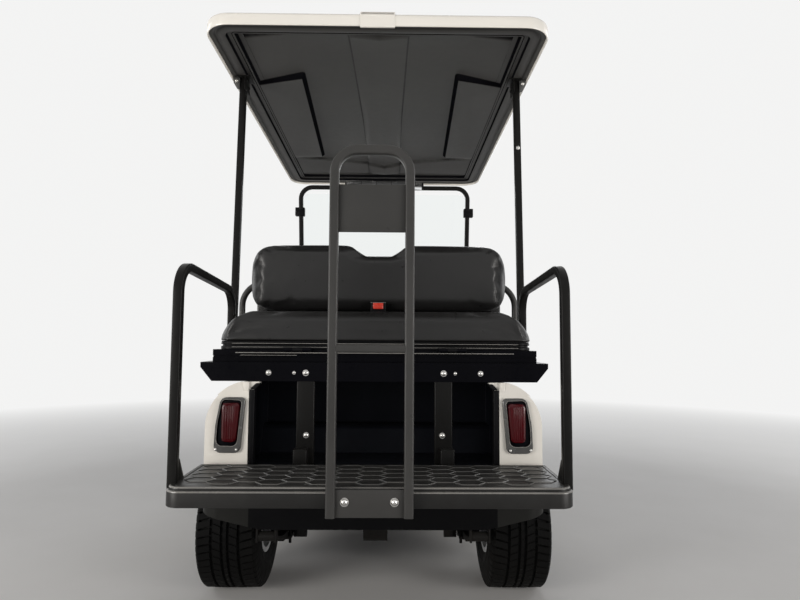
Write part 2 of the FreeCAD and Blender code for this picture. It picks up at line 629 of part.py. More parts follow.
outer = prism("y", body_section(BODY_TOP, 0), rear(-BODY_REAR), rear(STEP_Y)).fuse(
    prism("y", body_section(SEAT_BOX_TOP, 0), rear(0), rear(SEAT_BOX_FRONT)))
inner = prism("y", body_section(BODY_TOP, WALL), rear(-BODY_REAR + WALL), rear(STEP_Y - WALL)).fuse(
    prism("y", body_section(SEAT_BOX_TOP, WALL), rear(0), rear(SEAT_BOX_FRONT - WALL)))
shell = outer.cut(inner)
side_view = prism("x", [
    (rear(-BODY_REAR - 1), QUARTER_BOTTOM, 0), (rear(0), QUARTER_BOTTOM, 0), (rear(0), FLOOR_TOP, 0),
    (rear(SEAT_BOX_FRONT - 16), FLOOR_TOP, 30), (rear(SEAT_BOX_FRONT + 1), SEAT_BOX_TOP - 30, 0),
    (rear(SEAT_BOX_FRONT + 1), BODY_TOP + 1, 0), (rear(-BODY_REAR + 12), BODY_TOP + 1, 20),
    (rear(-BODY_REAR - 1), BODY_TOP - 60, 60)], -WIDE, WIDE)
shell = shell.common(side_view)
arch = rod((-WIDE, REAR_AXLE_Y, AXLE_Z), (WIDE, REAR_AXLE_Y, AXLE_Z), ARCH_R)
BAG_OPENING = prism("y", [(-BAGWELL_HALF_W, 200, 0), (BAGWELL_HALF_W, 200, 0),
                          (BAGWELL_HALF_W, BODY_TOP - WALL, 24), (-BAGWELL_HALF_W, BODY_TOP - WALL, 24)],
                    rear(-BODY_REAR - 5), rear(-BODY_REAR + 60))
BATTERY_OPENING = slab((-BODY_HALF_W + 100, BODY_HALF_W - 100), (rear(215), rear(SEAT_BOX_FRONT - 60)),
                       (SEAT_BOX_TOP - 20, SEAT_BOX_TOP + 20), 40.0)
# The bagwell is open upwards too: only the seat base closes it.
TOP_OPENING = box((-BAGWELL_HALF_W, BAGWELL_HALF_W), (rear(-BODY_REAR - 1), rear(-BODY_REAR + BAGWELL_DEPTH)),
                  (BODY_TOP - WALL - 1, BODY_TOP + 1))
shell = shell.cut(Part.makeCompound([arch, BAG_OPENING, TOP_OPENING, BATTERY_OPENING]))


def tail_lamp(size, low, high, r):
    """A rounded upright shape on the right rear face, leaning towards the middle."""
    w, h = size
    shape = prism("y", [(-w / 2, -h / 2, r), (w / 2, -h / 2, r), (w / 2, h / 2, r), (-w / 2, h / 2, r)],
                  rear(-BODY_REAR - high), rear(-BODY_REAR - low))
    shape.rotate(V(0, 0, 0), V(0, 1, 0), -LAMP_LEAN)
    shape.translate(V(LAMP_X, 0, LAMP_Z))
    return shape


BEZEL_PROUD = 11.0
lamp_hole = tail_lamp((LENS[0] + 10, LENS[1] + 10), -WALL - 1, 1, 24.0)
shell = shell.cut(both(lamp_hole))
export("rear_body", shell)
bezel = tail_lamp(BEZEL, 0, BEZEL_PROUD, 30.0).cut(tail_lamp(LENS, -2, BEZEL_PROUD + 2, 24.0))
lens_size = (LENS[0] - 2 * FIT, LENS[1] - 2 * FIT)
lens = tail_lamp(lens_size, 0, BEZEL_PROUD + 4, 23.5)
export("tail_lamp_bezels", both(bezel))
export("tail_lamp_lenses", both(lens))

TUB_REAR = -BODY_REAR + WALL + FIT     # against the rear panel's inner side
tub_x = BAGWELL_HALF_W
tub = box((-tub_x, tub_x), (rear(TUB_REAR), rear(TUB_REAR + BAGWELL_DEPTH)),
          (BAGWELL_FLOOR - LINER_T, BODY_TOP - WALL - FIT)).cut(
    box((-tub_x + LINER_T, tub_x - LINER_T),
        (rear(TUB_REAR - 5), rear(TUB_REAR + BAGWELL_DEPTH - LINER_T)),
        (BAGWELL_FLOOR, BODY_TOP)))
TUB_STEP = (110.0, 92.0)         # depth and height of the step along the front of the tub
step = prism("x", [(rear(TUB_REAR + BAGWELL_DEPTH - TUB_STEP[0]), BAGWELL_FLOOR, 0),
                   (rear(TUB_REAR + BAGWELL_DEPTH - 1), BAGWELL_FLOOR, 0),
                   (rear(TUB_REAR + BAGWELL_DEPTH - 1), BAGWELL_FLOOR + TUB_STEP[1], 0),
                   (rear(TUB_REAR + BAGWELL_DEPTH - TUB_STEP[0] + 26), BAGWELL_FLOOR + TUB_STEP[1], 22)],
             -tub_x + LINER_T / 2.0, tub_x - LINER_T / 2.0)
tub = tub.fuse(step).removeSplitter()

export("floor", floor)
export("rocker_panels", both(rocker))
export("pedals", Part.makeCompound(pedals))

# Valance under the deck.
VALANCE_Z = (288.0, QUARTER_BOTTOM)
VALANCE_T = 4.0
VALANCE_FRONT = -244.0
valance_y = rear(-BODY_REAR - 4)
VALANCE_R = 62.0


def valance_block(t, z):
    """The valance's plan, t inside its outer face and open towards the front."""
    half, y = BODY_HALF_W - t, valance_y + t
    return prism("z", [(-half, rear(VALANCE_FRONT), 0), (-half, y, VALANCE_R - t),
                       (half, y, VALANCE_R - t), (half, rear(VALANCE_FRONT), 0)], z[0], z[1])


valance = valance_block(0, VALANCE_Z).cut(valance_block(VALANCE_T, (VALANCE_Z[0] - 1, VALANCE_Z[1] + 1)))
END_LIFT = 46.0          # how much higher the lower edge is at both ends
lower_edge = prism("y", [(-BODY_HALF_W - 5, VALANCE_Z[0] + END_LIFT, 0),
                         (-BODY_HALF_W + 190, VALANCE_Z[0], 260),
                         (BODY_HALF_W - 190, VALANCE_Z[0], 260),
                         (BODY_HALF_W + 5, VALANCE_Z[0] + END_LIFT, 0),
                         (BODY_HALF_W + 5, VALANCE_Z[1], 0), (-BODY_HALF_W - 5, VALANCE_Z[1], 0)],
                   valance_y - 20, rear(0))
valance = valance.common(lower_edge)
export("rear_valance", valance)

# Rear seat base.
BASE_FRONT = REAR_BACKREST_Y + BACKREST_T + FRAME_TUBE
APRON_STEP = 36.0
apron = prism("y", [(-APRON_HALF_W, APRON_TOP, 0), (-APRON_HALF_W, APRON_TOP - 16, 0),
                    (-APRON_HALF_W + APRON_STEP, BODY_TOP, 0), (APRON_HALF_W - APRON_STEP, BODY_TOP, 0),
                    (APRON_HALF_W, APRON_TOP - 16, 0), (APRON_HALF_W, APRON_TOP, 0)],
              rear(-APRON_REAR), rear(STEP_Y))
BAND_REAR = FLIP_AXIS_Y + HINGE_R + 5.0
GROOVE = 5.0
seat_band = prism("x", [
    (rear(BAND_REAR), APRON_TOP - 2, 0), (rear(BAND_REAR), APRON_TOP + 15, 0),
    (rear(BAND_REAR + GROOVE), APRON_TOP + 15, 0), (rear(BAND_REAR + GROOVE), APRON_TOP + 21, 0),
    (rear(BAND_REAR), APRON_TOP + 21, 0), (rear(BAND_REAR), SEAT_BASE_TOP, 0),
    (rear(BASE_FRONT), SEAT_BASE_TOP, 0), (rear(BASE_FRONT), APRON_TOP - 2, 0)],
    -SEAT_BASE_HALF_W, SEAT_BASE_HALF_W)

# Two strap hinges: the base carries the pin and the outer knuckles, the pan the middle one.
HINGE_X = (-250.0, 250.0)
HINGE_KNUCKLE = 30.0
HINGE_PIN_R = 4.0
flip_y = rear(FLIP_AXIS_Y)
base_parts = [apron, seat_band]
pan_knuckles = []
for x in HINGE_X:
    for side in (-1, 1):
        a, b = sorted((x + side * (HINGE_KNUCKLE / 2.0 + FIT), x + side * HINGE_KNUCKLE * 1.5))
        base_parts.append(rod((a, flip_y, SEAT_BASE_TOP), (b, flip_y, SEAT_BASE_TOP), HINGE_R))
        base_parts.append(box((a, b), (flip_y, rear(BAND_REAR + 3)),
                              (SEAT_BASE_TOP - HINGE_R, SEAT_BASE_TOP - 1)))
    base_parts.append(rod((x - HINGE_KNUCKLE, flip_y, SEAT_BASE_TOP),
                          (x + HINGE_KNUCKLE, flip_y, SEAT_BASE_TOP), HINGE_PIN_R))
    knuckle_ring = rod((x - HINGE_KNUCKLE / 2.0, flip_y, SEAT_BASE_TOP),
                       (x + HINGE_KNUCKLE / 2.0, flip_y, SEAT_BASE_TOP), HINGE_R)
    strap = box((x - HINGE_KNUCKLE / 2.0, x + HINGE_KNUCKLE / 2.0), (flip_y, rear(REAR_CUSHION_Y[0] + 2)),
                (SEAT_BASE_TOP + 1, SEAT_BASE_TOP + HINGE_R))
    pan_knuckles.append(fuse([knuckle_ring, strap]).cut(
        rod((x - 40, flip_y, SEAT_BASE_TOP), (x + 40, flip_y, SEAT_BASE_TOP), HINGE_PIN_R + FIT)))
export("rear_seat_base", fuse(base_parts))

PAN_BOTTOM = SEAT_BASE_TOP + FIT
PAN_TOP = PAN_BOTTOM + PAN_T
pan_rear, pan_front = REAR_CUSHION_Y[0] - 8, REAR_CUSHION_Y[1]
pan_half = CUSHION_HALF_W + 3
seat_pan = prism("x", [
    (rear(pan_rear), PAN_BOTTOM, 0), (rear(pan_rear), PAN_BOTTOM + 11, 0),
    (rear(pan_rear + GROOVE), PAN_BOTTOM + 13, 0), (rear(pan_rear + GROOVE), PAN_BOTTOM + 17, 0),
    (rear(pan_rear), PAN_BOTTOM + 19, 0), (rear(pan_rear), PAN_TOP, 0),
    (rear(pan_front), PAN_TOP, 0), (rear(pan_front), PAN_BOTTOM, 0)], -pan_half, pan_half)
seat_pan = seat_pan.common(slab((-pan_half, pan_half), (rear(pan_rear), rear(pan_front)),
                                (PAN_BOTTOM - 1, PAN_TOP + 1), 45.0))
export("rear_seat_pan", fuse([seat_pan] + pan_knuckles))
CUSHION_TOP = PAN_TOP + CUSHION_T
export("rear_cushion", cushion((-CUSHION_HALF_W, CUSHION_HALF_W),
                               (rear(REAR_CUSHION_Y[0]), rear(REAR_CUSHION_Y[1])),
                               (PAN_TOP, CUSHION_TOP), 78.0, 38.0, 48.0))


# Backrests and their frame.
def backrest(y0, y1, z, bevel):
    """A padded back with rounded corners and a scoop in the middle of its top."""
    z0, z1 = z
    half = BACKREST_HALF_W
    face = [(-half, z0, 85), (half, z0, 85), (half, z1, 105),
            (SCOOP_HALF_W, z1, 36), (SCOOP_HALF_W / 2.0, z1 - SCOOP_DEPTH, 36),
            (-SCOOP_HALF_W / 2.0, z1 - SCOOP_DEPTH, 36), (-SCOOP_HALF_W, z1, 36), (-half, z1, 105)]
    pad = prism("y", face, y0, y1)
    corners = [(y0, z0, bevel[0]), (y1, z0, bevel[1]), (y1, z1, bevel[1]), (y0, z1, bevel[0])]
    pad = pad.common(prism("x", corners, -half, half))
    plan_view = [(-half, y0, bevel[0]), (half, y0, bevel[0]), (half, y1, bevel[1]),
                 (-half, y1, bevel[1])]
    return pad.common(prism("z", plan_view, z0, z1))


REAR_PAD = (rear(REAR_BACKREST_Y), rear(REAR_BACKREST_Y + BACKREST_T))
FRAME_Y = REAR_PAD[1] + FRAME_TUBE / 2.0
FRONT_PAD = (REAR_PAD[1] + FRAME_TUBE, REAR_PAD[1] + FRAME_TUBE + BACKREST_T)
export("rear_backrest", backrest(REAR_PAD[0], REAR_PAD[1], BACKREST_Z, (36.0, 6.0)))
export("front_backrest", backrest(FRONT_PAD[0], FRONT_PAD[1], FRONT_BACKREST_Z, (6.0, 36.0)))

# One bent tube runs from seat base to seat base behind the pads; round arms stand at its ends.
ARM_D = 22.0
ARM_X = SEAT_BASE_HALF_W + ARM_D / 2.0
ARM_Z = 1098.0
UPRIGHT_X = 300.0
uprights = [box((s * UPRIGHT_X - FRAME_TUBE / 2.0, s * UPRIGHT_X + FRAME_TUBE / 2.0),
                (FRAME_Y - FRAME_TUBE / 2.0, FRAME_Y + FRAME_TUBE / 2.0),
                (SEAT_BASE_TOP, ARM_Z)) for s in (-1, 1)]
cross_tube = box((-BACKREST_HALF_W + 40, BACKREST_HALF_W - 40),
                 (FRAME_Y - FRAME_TUBE / 2.0, FRAME_Y + FRAME_TUBE / 2.0),
                 (ARM_Z - FRAME_TUBE / 2.0, ARM_Z + FRAME_TUBE / 2.0))
ARM_BEND_R = 48.0
arms = []
for side in (-1, 1):
    line = path([(V(side * (BACKREST_HALF_W - 45), FRAME_Y, ARM_Z), 0),
                 (V(side * ARM_X, FRAME_Y, ARM_Z), ARM_BEND_R),
                 (V(side * ARM_X, FRAME_Y, APRON_TOP), 0)], False)
    ring = Part.Wire(Part.makeCircle(ARM_D / 2.0, V(side * (BACKREST_HALF_W - 45), FRAME_Y, ARM_Z),
                                     V(1, 0, 0)))
    arms.append(line.makePipe(Part.Face(ring)))
frame_parts = fuse(uprights + [cross_tube] + arms)
export("backrest_frame", frame_parts)

# Belt buckle.
BUCKLE = (34.0, 13.0, 42.0)
BUCKLE_Z = 1006.0
buckle_y = rear(REAR_CUSHION_Y[1]) + 5.0
buckle = fuse([
    slab((-BUCKLE[0] / 2, BUCKLE[0] / 2), (buckle_y, buckle_y + BUCKLE[1]),
         (BUCKLE_Z - BUCKLE[2] / 2, BUCKLE_Z + BUCKLE[2] / 2), 3.0),
    box((-12, 12), (buckle_y + 5, buckle_y + 7), (SEAT_BASE_TOP, BUCKLE_Z - BUCKLE[2] / 2 + 1))])
export("belt_buckle", buckle.cut(backrest(REAR_PAD[0] - FIT, REAR_PAD[1], BACKREST_Z, (36.0, 6.0))))

# Front seat.
LID_BOTTOM = SEAT_BOX_TOP + FIT
LID_TOP = LID_BOTTOM + FRONT_PAN_T
lid_y, lid_z = rear(LID_AXIS[0]), LID_AXIS[1]
lid_half = CUSHION_HALF_W - 6
lid = slab((-lid_half, lid_half), (rear(FRONT_CUSHION_Y[0]), rear(FRONT_CUSHION_Y[1] + 4)),
           (LID_BOTTOM, LID_TOP), 50.0)
lid_knuckles = []
hinge_posts = []
for x in HINGE_X:
    ring = fuse([rod((x - 15, lid_y, lid_z), (x + 15, lid_y, lid_z), HINGE_R),
                 box((x - 15, x + 15), (lid_y, rear(FRONT_CUSHION_Y[0] + 2)), (lid_z - 5, lid_z + 5))])
    lid_knuckles.append(ring.cut(rod((x - 40, lid_y, lid_z), (x + 40, lid_y, lid_z),
                                     HINGE_PIN_R + FIT)))
    post = [rod((x - 30, lid_y, lid_z), (x + 30, lid_y, lid_z), HINGE_PIN_R)]
    for side in (-1, 1):
        a, b = sorted((x + side * (15 + FIT), x + side * 30))
        post.append(rod((a, lid_y, lid_z), (b, lid_y, lid_z), HINGE_R))
        post.append(box((a, b), (lid_y - HINGE_R, lid_y + HINGE_R), (SEAT_BOX_TOP, lid_z)))
    hinge_posts.append(fuse(post))
export("front_seat_pan", fuse([lid] + lid_knuckles))
export("seat_hinge_posts", Part.makeCompound(hinge_posts))
export("front_cushion", cushion((-CUSHION_HALF_W + 8, CUSHION_HALF_W - 8),
                                (rear(FRONT_CUSHION_Y[0] + 2), rear(FRONT_CUSHION_Y[1])),
                                (LID_TOP, LID_TOP + FRONT_CUSHION_T), 78.0, 38.0, 60.0))

# Deck, hoop, side rails.
HOOP_REAR = -REAR_OVERHANG
HOOP_FRONT = HOOP_REAR + TUBE
deck_plan = [(-DECK_HALF_W, rear(-DECK_FRONT), 0), (-DECK_HALF_W, rear(HOOP_FRONT), 42),
             (DECK_HALF_W, rear(HOOP_FRONT), 42), (DECK_HALF_W, rear(-DECK_FRONT), 0)]
deck = prism("z", deck_plan, DECK_TOP - DECK_LIP, DECK_TOP).cut(
    prism("z", inset(deck_plan, DECK_WALL), DECK_TOP - DECK_LIP - 1, DECK_TOP - DECK_WALL))

hoop_y = rear(HOOP_REAR) + TUBE / 2.0
hoop_x = HOOP_W / 2.0 - TUBE / 2.0
hoop = square_tube("y", [(-hoop_x, HOOP_FOOT, 0), (-hoop_x, HOOP_TOP - TUBE / 2.0, HOOP_BEND_R),
                         (hoop_x, HOOP_TOP - TUBE / 2.0, HOOP_BEND_R), (hoop_x, HOOP_FOOT, 0)],
                   TUBE, hoop_y)
PLATE_T = 4.0
inner_x = hoop_x - TUBE / 2.0 + 1
hoop_fill = [
    box((-inner_x, inner_x), (hoop_y - PLATE_T / 2, hoop_y + PLATE_T / 2), HOOP_PLATE_Z),
    box((-inner_x, inner_x), (hoop_y - TUBE / 2, hoop_y + TUBE / 2), HOOP_BAR_Z),
    box((-inner_x, inner_x), (hoop_y - PLATE_T, hoop_y + TUBE / 2), (HOOP_FOOT, DECK_TOP))]
export("grab_hoop", fuse([hoop] + hoop_fill))

rail_x = DECK_HALF_W + TUBE / 2.0
rail_top = RAIL_TOP - TUBE / 2.0
side_rail = square_tube("x", [
    (rear(SIDE_RAIL_REAR_Y), DECK_TOP - DECK_LIP + 4, 0), (rear(SIDE_RAIL_REAR_Y), rail_top, RAIL_BEND_R),
    (rear(SIDE_RAIL_FRONT_Y), rail_top, RAIL_BEND_R), (rear(SIDE_RAIL_FRONT_Y), APRON_TOP, 0)],
    TUBE, rail_x)
FIN = (38.0, 64.0)
fin = prism("x", [(rear(SIDE_RAIL_REAR_Y) + TUBE / 2.0 - 1, DECK_TOP, 0),
                  (rear(SIDE_RAIL_REAR_Y) + TUBE / 2.0 + FIN[0], DECK_TOP, 0),
                  (rear(SIDE_RAIL_REAR_Y) + TUBE / 2.0 - 1, DECK_TOP + FIN[1], 0)],
            rail_x - TUBE / 2.0, rail_x - TUBE / 2.0 + 5)
export("side_rails", both(fuse([side_rail, fin])))

# Bars carry the seat base, brackets and two beams carry the deck from the chassis rails.
BAR_T = 22.0
BAR_IN = 3.0             # bars, ahead of the apron's rear face
bar_y = (rear(-APRON_REAR - BAR_IN), rear(-APRON_REAR - BAR_IN + BAR_T))
BRACKET_TOP = 533.0
deck_under = DECK_TOP - DECK_WALL
BEAM = 34.0
support = fuse([
    box((SUPPORT_X - SUPPORT_W / 2, SUPPORT_X + SUPPORT_W / 2), bar_y, (BRACKET_TOP - 60, BODY_TOP)),
    box((SUPPORT_X - BRACKET_W / 2, SUPPORT_X + BRACKET_W / 2), (rear(-DECK_FRONT) + 2, bar_y[0] + 1),
        (deck_under - BEAM, BRACKET_TOP)),
    box((SUPPORT_X - BRACKET_W / 2, SUPPORT_X + BRACKET_W / 2),
        (rear(HOOP_FRONT) + DECK_WALL, rear(-DECK_FRONT) + 4), (deck_under - BEAM, deck_under)),
    box((SUPPORT_X - BRACKET_W / 2, SUPPORT_X + BRACKET_W / 2), bar_y,
        (RAIL_HIGH_Z + RAIL_H / 2.0, BRACKET_TOP - 50)),
    box((RAIL_X - RAIL_W / 2, SUPPORT_X + BRACKET_W / 2), (bar_y[0], bar_y[1] + 30),
        (RAIL_HIGH_Z + RAIL_H / 2.0, RAIL_HIGH_Z + RAIL_H / 2.0 + 6))])
supports = both(support)
tub = tub.cut(supports)
export("deck_supports", supports)
export("footrest_deck", deck.cut(supports))
export("bagwell", max(tub.Solids, key=lambda s: s.Volume))

# Roof.
def roof_place(shape):
    """From the roof's own frame, rear rim's lower edge at the origin, to the cart."""
    shape.rotate(V(0, 0, 0), V(1, 0, 0), -ROOF_SLOPE)
    shape.translate(V(0, rear(-ROOF_REAR), ROOF_REAR_Z))
    return shape


roof_plan = [(-ROOF_HALF_W, 0, ROOF_CORNER_R), (ROOF_HALF_W, 0, ROOF_CORNER_R),
             (ROOF_HALF_W - 12, ROOF_L, ROOF_CORNER_R), (-ROOF_HALF_W + 12, ROOF_L, ROOF_CORNER_R)]
crown_r = (ROOF_HALF_W ** 2 + ROOF_CROWN ** 2) / (2.0 * ROOF_CROWN)


def roof_volume(t):
    """The roof's outside, t inside its skin, filled down to the rim's lower edge."""
    block = prism("z", inset(roof_plan, t), 0, ROOF_RIM + 100)
    top = rod((0, -50, ROOF_RIM + ROOF_CROWN - crown_r), (0, ROOF_L + 50, ROOF_RIM + ROOF_CROWN - crown_r),
              crown_r - t)
    return block.common(top)


COVER = (115.0, 3.0, 48.0)
cover = slab((-COVER[0] / 2, COVER[0] / 2), (-COVER[1], ROOF_WALL), (4, 4 + COVER[2]), 1.0)
roof_shell = roof_volume(0).cut(roof_volume(ROOF_WALL)).fuse(cover).removeSplitter()
export("roof_shell", roof_place(roof_shell))

GUTTER_Z = 10.0
FIELD_Z = 34.0
LINER_TOP = 40.0
LIP_W = ROOF_HALF_W - SEAT_BASE_HALF_W + 4.0     # the rear struts and their plates end on it
FIELD_IN = LIP_W + 28.0
gutter = prism("z", inset(roof_plan, ROOF_WALL), GUTTER_Z, LINER_TOP)
gutter = gutter.cut(prism("z", inset(roof_plan, LIP_W), GUTTER_Z - 1, GUTTER_Z + 10))
gutter = gutter.cut(prism("z", inset(roof_plan, FIELD_IN), GUTTER_Z, FIELD_Z))
SPINE_HALF = 90.0
PAD_X = (300.0, ROOF_HALF_W - FIELD_IN)
PAD_Y = (350.0, 1160.0)
spine = slab((-SPINE_HALF, SPINE_HALF), (60, ROOF_L - 60), (GUTTER_Z + 14, FIELD_Z + 1), 20.0)
pads = [slab((min(s * PAD_X[0], s * PAD_X[1]), max(s * PAD_X[0], s * PAD_X[1])), PAD_Y,
             (GUTTER_Z + 12, FIELD_Z + 1), 24.0) for s in (-1, 1)]
liner = fuse([gutter, spine] + pads)
below_roof = roof_place(box((-WIDE, WIDE), (-200, ROOF_L + 200), (GUTTER_Z, 400)))
export("roof_liner", roof_place(liner))

strut_foot, strut_head = rear(0), rear(STRUT_LEAN)
strut_x = SEAT_BASE_HALF_W + STRUT / 2.0
rear_strut = prism("x", [(strut_foot - STRUT / 2, APRON_TOP, 0), (strut_foot + STRUT / 2, APRON_TOP, 0),
                         (strut_head + STRUT / 2, 2000, 0), (strut_head - STRUT / 2, 2000, 0)],
                   strut_x - STRUT / 2, strut_x + STRUT / 2).cut(below_roof)
HEAD_PLATE = (74.0, 62.0, 3.0)   # length, drop, thickness
plate_x = strut_x - STRUT / 2.0 - HEAD_PLATE[2]
plate_z = ROOF_REAR_Z - HEAD_PLATE[1]
head_plate = box((plate_x, plate_x + HEAD_PLATE[2]),
                 (strut_head - HEAD_PLATE[0] / 2.0, strut_head + HEAD_PLATE[0] / 2.0),
                 (plate_z, ROOF_REAR_Z + 40)).cut(below_roof)
export("rear_struts", both(fuse([rear_strut, head_plate])))

# Cowl, bumper, head lamps.
# Sections from the dash to the nose: y from the front axle, narrowing each side, top, corner radius.
COWL_SECTIONS = [
    (COWL_REAR, 0.0, COWL_BASE_Z, 120.0),
    (-100.0, 0.0, COWL_BASE_Z - 44.0, 126.0),
    (60.0, 6.0, COWL_BASE_Z - 102.0, 132.0),
    (190.0, 34.0, COWL_BASE_Z - 176.0, 136.0),
    (285.0, 92.0, COWL_BASE_Z - 258.0, 130.0),
    (344.0, 172.0, COWL_BASE_Z - 356.0, 100.0),
]
COWL_NOSE = COWL_SECTIONS[-1][0]


def cowl_volume(t):
    """The cowl's outside, about t inside its skin, filled."""
    wires = []
    for y, narrow, top, r in COWL_SECTIONS:
        half_w, low = BODY_HALF_W - narrow - t, COWL_BOTTOM + t
        at = front(min(max(y, COWL_REAR + t), COWL_NOSE - t))
        wires.append(path([(V(-half_w, at, low), 0), (V(half_w, at, low), 0),
                           (V(half_w, at, top - 1.4 * t), r - t),
                           (V(-half_w, at, top - 1.4 * t), r - t)], True))
    return Part.makeLoft(wires, True, False)


cowl_outer = cowl_volume(0)
under = prism("z", [(-BODY_HALF_W + 12, front(COWL_REAR + WALL), 0),
                    (BODY_HALF_W - 12, front(COWL_REAR + WALL), 0), (BODY_HALF_W - 12, front(60), 120),
                    (BODY_HALF_W - 190, front(COWL_NOSE - 16), 60),
                    (-BODY_HALF_W + 190, front(COWL_NOSE - 16), 60), (-BODY_HALF_W + 12, front(60), 120)],
              COWL_BOTTOM - 1, COWL_BOTTOM + WALL + 1)
cowl = cowl_outer.cut(cowl_volume(WALL)).cut(under)
WELL_IN = 232.0
front_arches = both(rod((WELL_IN, FRONT_AXLE_Y, AXLE_Z), (WIDE, FRONT_AXLE_Y, AXLE_Z), FRONT_ARCH_R))
toe_gap = box((-BODY_HALF_W + WALL, BODY_HALF_W - WALL),
              (front(COWL_REAR) - 1, front(COWL_REAR + WALL) + 1), (COWL_BOTTOM - 1, TOE_TOP))
cowl = cowl.cut(front_arches).cut(toe_gap)
LAMP_OUT = BODY_HALF_W - 102.0
HEADLAMP = [(LAMP_OUT - 183, 548, 20), (LAMP_OUT, 560, 30), (LAMP_OUT + 26, 626, 30),
            (LAMP_OUT - 140, 610, 24)]
lamp_cut = prism("y", HEADLAMP, front(120), front(420))
lamp_lens = cowl_outer.cut(cowl_volume(WALL + 6)).common(prism("y", inset(HEADLAMP, FIT), front(150), front(420)))
cowl = cowl.cut(both(lamp_cut.common(cowl_outer.cut(cowl_volume(WALL + 1)))))
export("front_cowl", max(cowl.Solids, key=lambda s: s.Volume))
export("headlamps", both(max(lamp_lens.Solids, key=lambda s: s.Volume)))

BUMPER_HALF_W = BODY_HALF_W - 25.0
BUMPER_IN = FRONT_OVERHANG - BUMPER_DEPTH
bumper_plan = [(-BUMPER_HALF_W, front(BUMPER_IN), 0), (-BUMPER_HALF_W, front(BUMPER_IN + 16), 10),
               (-BUMPER_HALF_W + 120, front(FRONT_OVERHANG), 150),
               (BUMPER_HALF_W - 120, front(FRONT_OVERHANG), 150),
               (BUMPER_HALF_W, front(BUMPER_IN + 16), 10), (BUMPER_HALF_W, front(BUMPER_IN), 0)]
bumper = prism("z", bumper_plan, BUMPER_Z[0], BUMPER_Z[1]).common(
    prism("x", [(front(BUMPER_IN), BUMPER_Z[0], 0), (front(FRONT_OVERHANG - 12), BUMPER_Z[0], 18),
                (front(FRONT_OVERHANG), BUMPER_Z[0] + 34, 14), (front(FRONT_OVERHANG), BUMPER_Z[1], 12),
                (front(BUMPER_IN), BUMPER_Z[1], 0)], -WIDE, WIDE))
export("front_bumper", bumper)

# Dash, column, steering wheel.
dash_y = front(COWL_REAR)
DASH_HALF_W = BODY_HALF_W - 20.0
DASH_Z = (690.0, COWL_BASE_Z)
dash = prism("x", [(dash_y, DASH_Z[0], 0), (dash_y, DASH_Z[1], 0), (dash_y - 60, DASH_Z[1] + 8, 60),
                   (dash_y - DASH_DEPTH, DASH_Z[1] - 62, 34), (dash_y - DASH_DEPTH + 14, DASH_Z[0], 22)],
             -DASH_HALF_W, DASH_HALF_W)
POCKET_X = (60.0, DASH_HALF_W - 90.0)
POCKET_Z = (722.0, 796.0)
pockets = both(prism("y", [(POCKET_X[0], POCKET_Z[0], 16), (POCKET_X[1], POCKET_Z[0], 16),
                           (POCKET_X[1], POCKET_Z[1], 16), (POCKET_X[0], POCKET_Z[1], 16)],
                     dash_y - DASH_DEPTH - 30, dash_y - 24))
export("dash", dash.cut(pockets))

# A shelf under the dash holds two cups.
CUP_R = 37.0
CUP_X = 52.0
CUP_DEPTH = 50.0
SHELF_TOP = DASH_Z[0] + CUP_DEPTH + 10.0
cup_y = dash_y - DASH_DEPTH - CUP_R - 2.0
shelf = prism("z", [(-CUP_X - CUP_R - 12, dash_y - DASH_DEPTH + 14, 0),
                    (-CUP_X - CUP_R - 12, cup_y - CUP_R - 8, 34),
                    (CUP_X + CUP_R + 12, cup_y - CUP_R - 8, 34),
                    (CUP_X + CUP_R + 12, dash_y - DASH_DEPTH + 14, 0)], DASH_Z[0], SHELF_TOP)
for x in (-CUP_X, CUP_X):
    shelf = shelf.cut(rod((x, cup_y, SHELF_TOP - CUP_DEPTH), (x, cup_y, SHELF_TOP + 1), CUP_R))
export("cup_shelf", shelf.cut(dash))

top_y, top_z = rear(COLUMN_TOP[0]), COLUMN_TOP[1]
foot_y, foot_z = front(COLUMN_FOOT[0]), COLUMN_FOOT[1]
column_axis = V(0, top_y - foot_y, top_z - foot_z)
column_axis.normalize()
hub_low = V(COLUMN_X, top_y, top_z) - column_axis * 70
shaft_low = V(COLUMN_X, foot_y, foot_z)
COLUMN_R = COLUMN_D / 2.0
column = rod(tuple(shaft_low - column_axis * 40), tuple(hub_low - column_axis * FIT), COLUMN_R)
floor_above = prism("x", band(floor_line, FLOOR_T), -WIDE, WIDE)
column = max(column.cut(floor_above).Solids, key=lambda s: s.BoundBox.ZMax)
export("steering_column", column)

WHEEL_TUBE = 26.0
ring = Part.makeTorus(WHEEL_D / 2.0 - WHEEL_TUBE / 2.0, WHEEL_TUBE / 2.0)
hub = Part.makeCylinder(46.0, 34.0, V(0, 0, -22))
stem = Part.makeCylinder(20.0, 60.0, V(0, 0, -70))
spokes = []
for angle in (0.0, 180.0, 270.0):
    spoke = box((30, WHEEL_D / 2.0 - WHEEL_TUBE / 2.0), (-17, 17), (-8, 2))
    spoke.rotate(V(0, 0, 0), V(0, 0, 1), angle)
    spokes.append(spoke)
wheel = fuse([ring, hub, stem] + spokes)
tilt = math.degrees(math.atan2(-column_axis.y, column_axis.z))
wheel.rotate(V(0, 0, 0), V(1, 0, 0), tilt)
wheel.translate(V(COLUMN_X, top_y, top_z))
export("steering_wheel", wheel)

# Front strut, windshield, mirror.
foot = FRONT_STRUT_FOOT
top = FRONT_STRUT_TOP
lean = math.degrees(math.atan2(foot[0] - top[0], top[1] - foot[1]))
length = math.hypot(foot[0] - top[0], top[1] - foot[1])


def strut_place(shape):
    """From an upright frame with the strut's foot line at the origin, to the leaning strut."""
    shape.rotate(V(0, 0, 0), V(1, 0, 0), lean)
    shape.translate(V(0, front(foot[0]), foot[1]))
    return shape


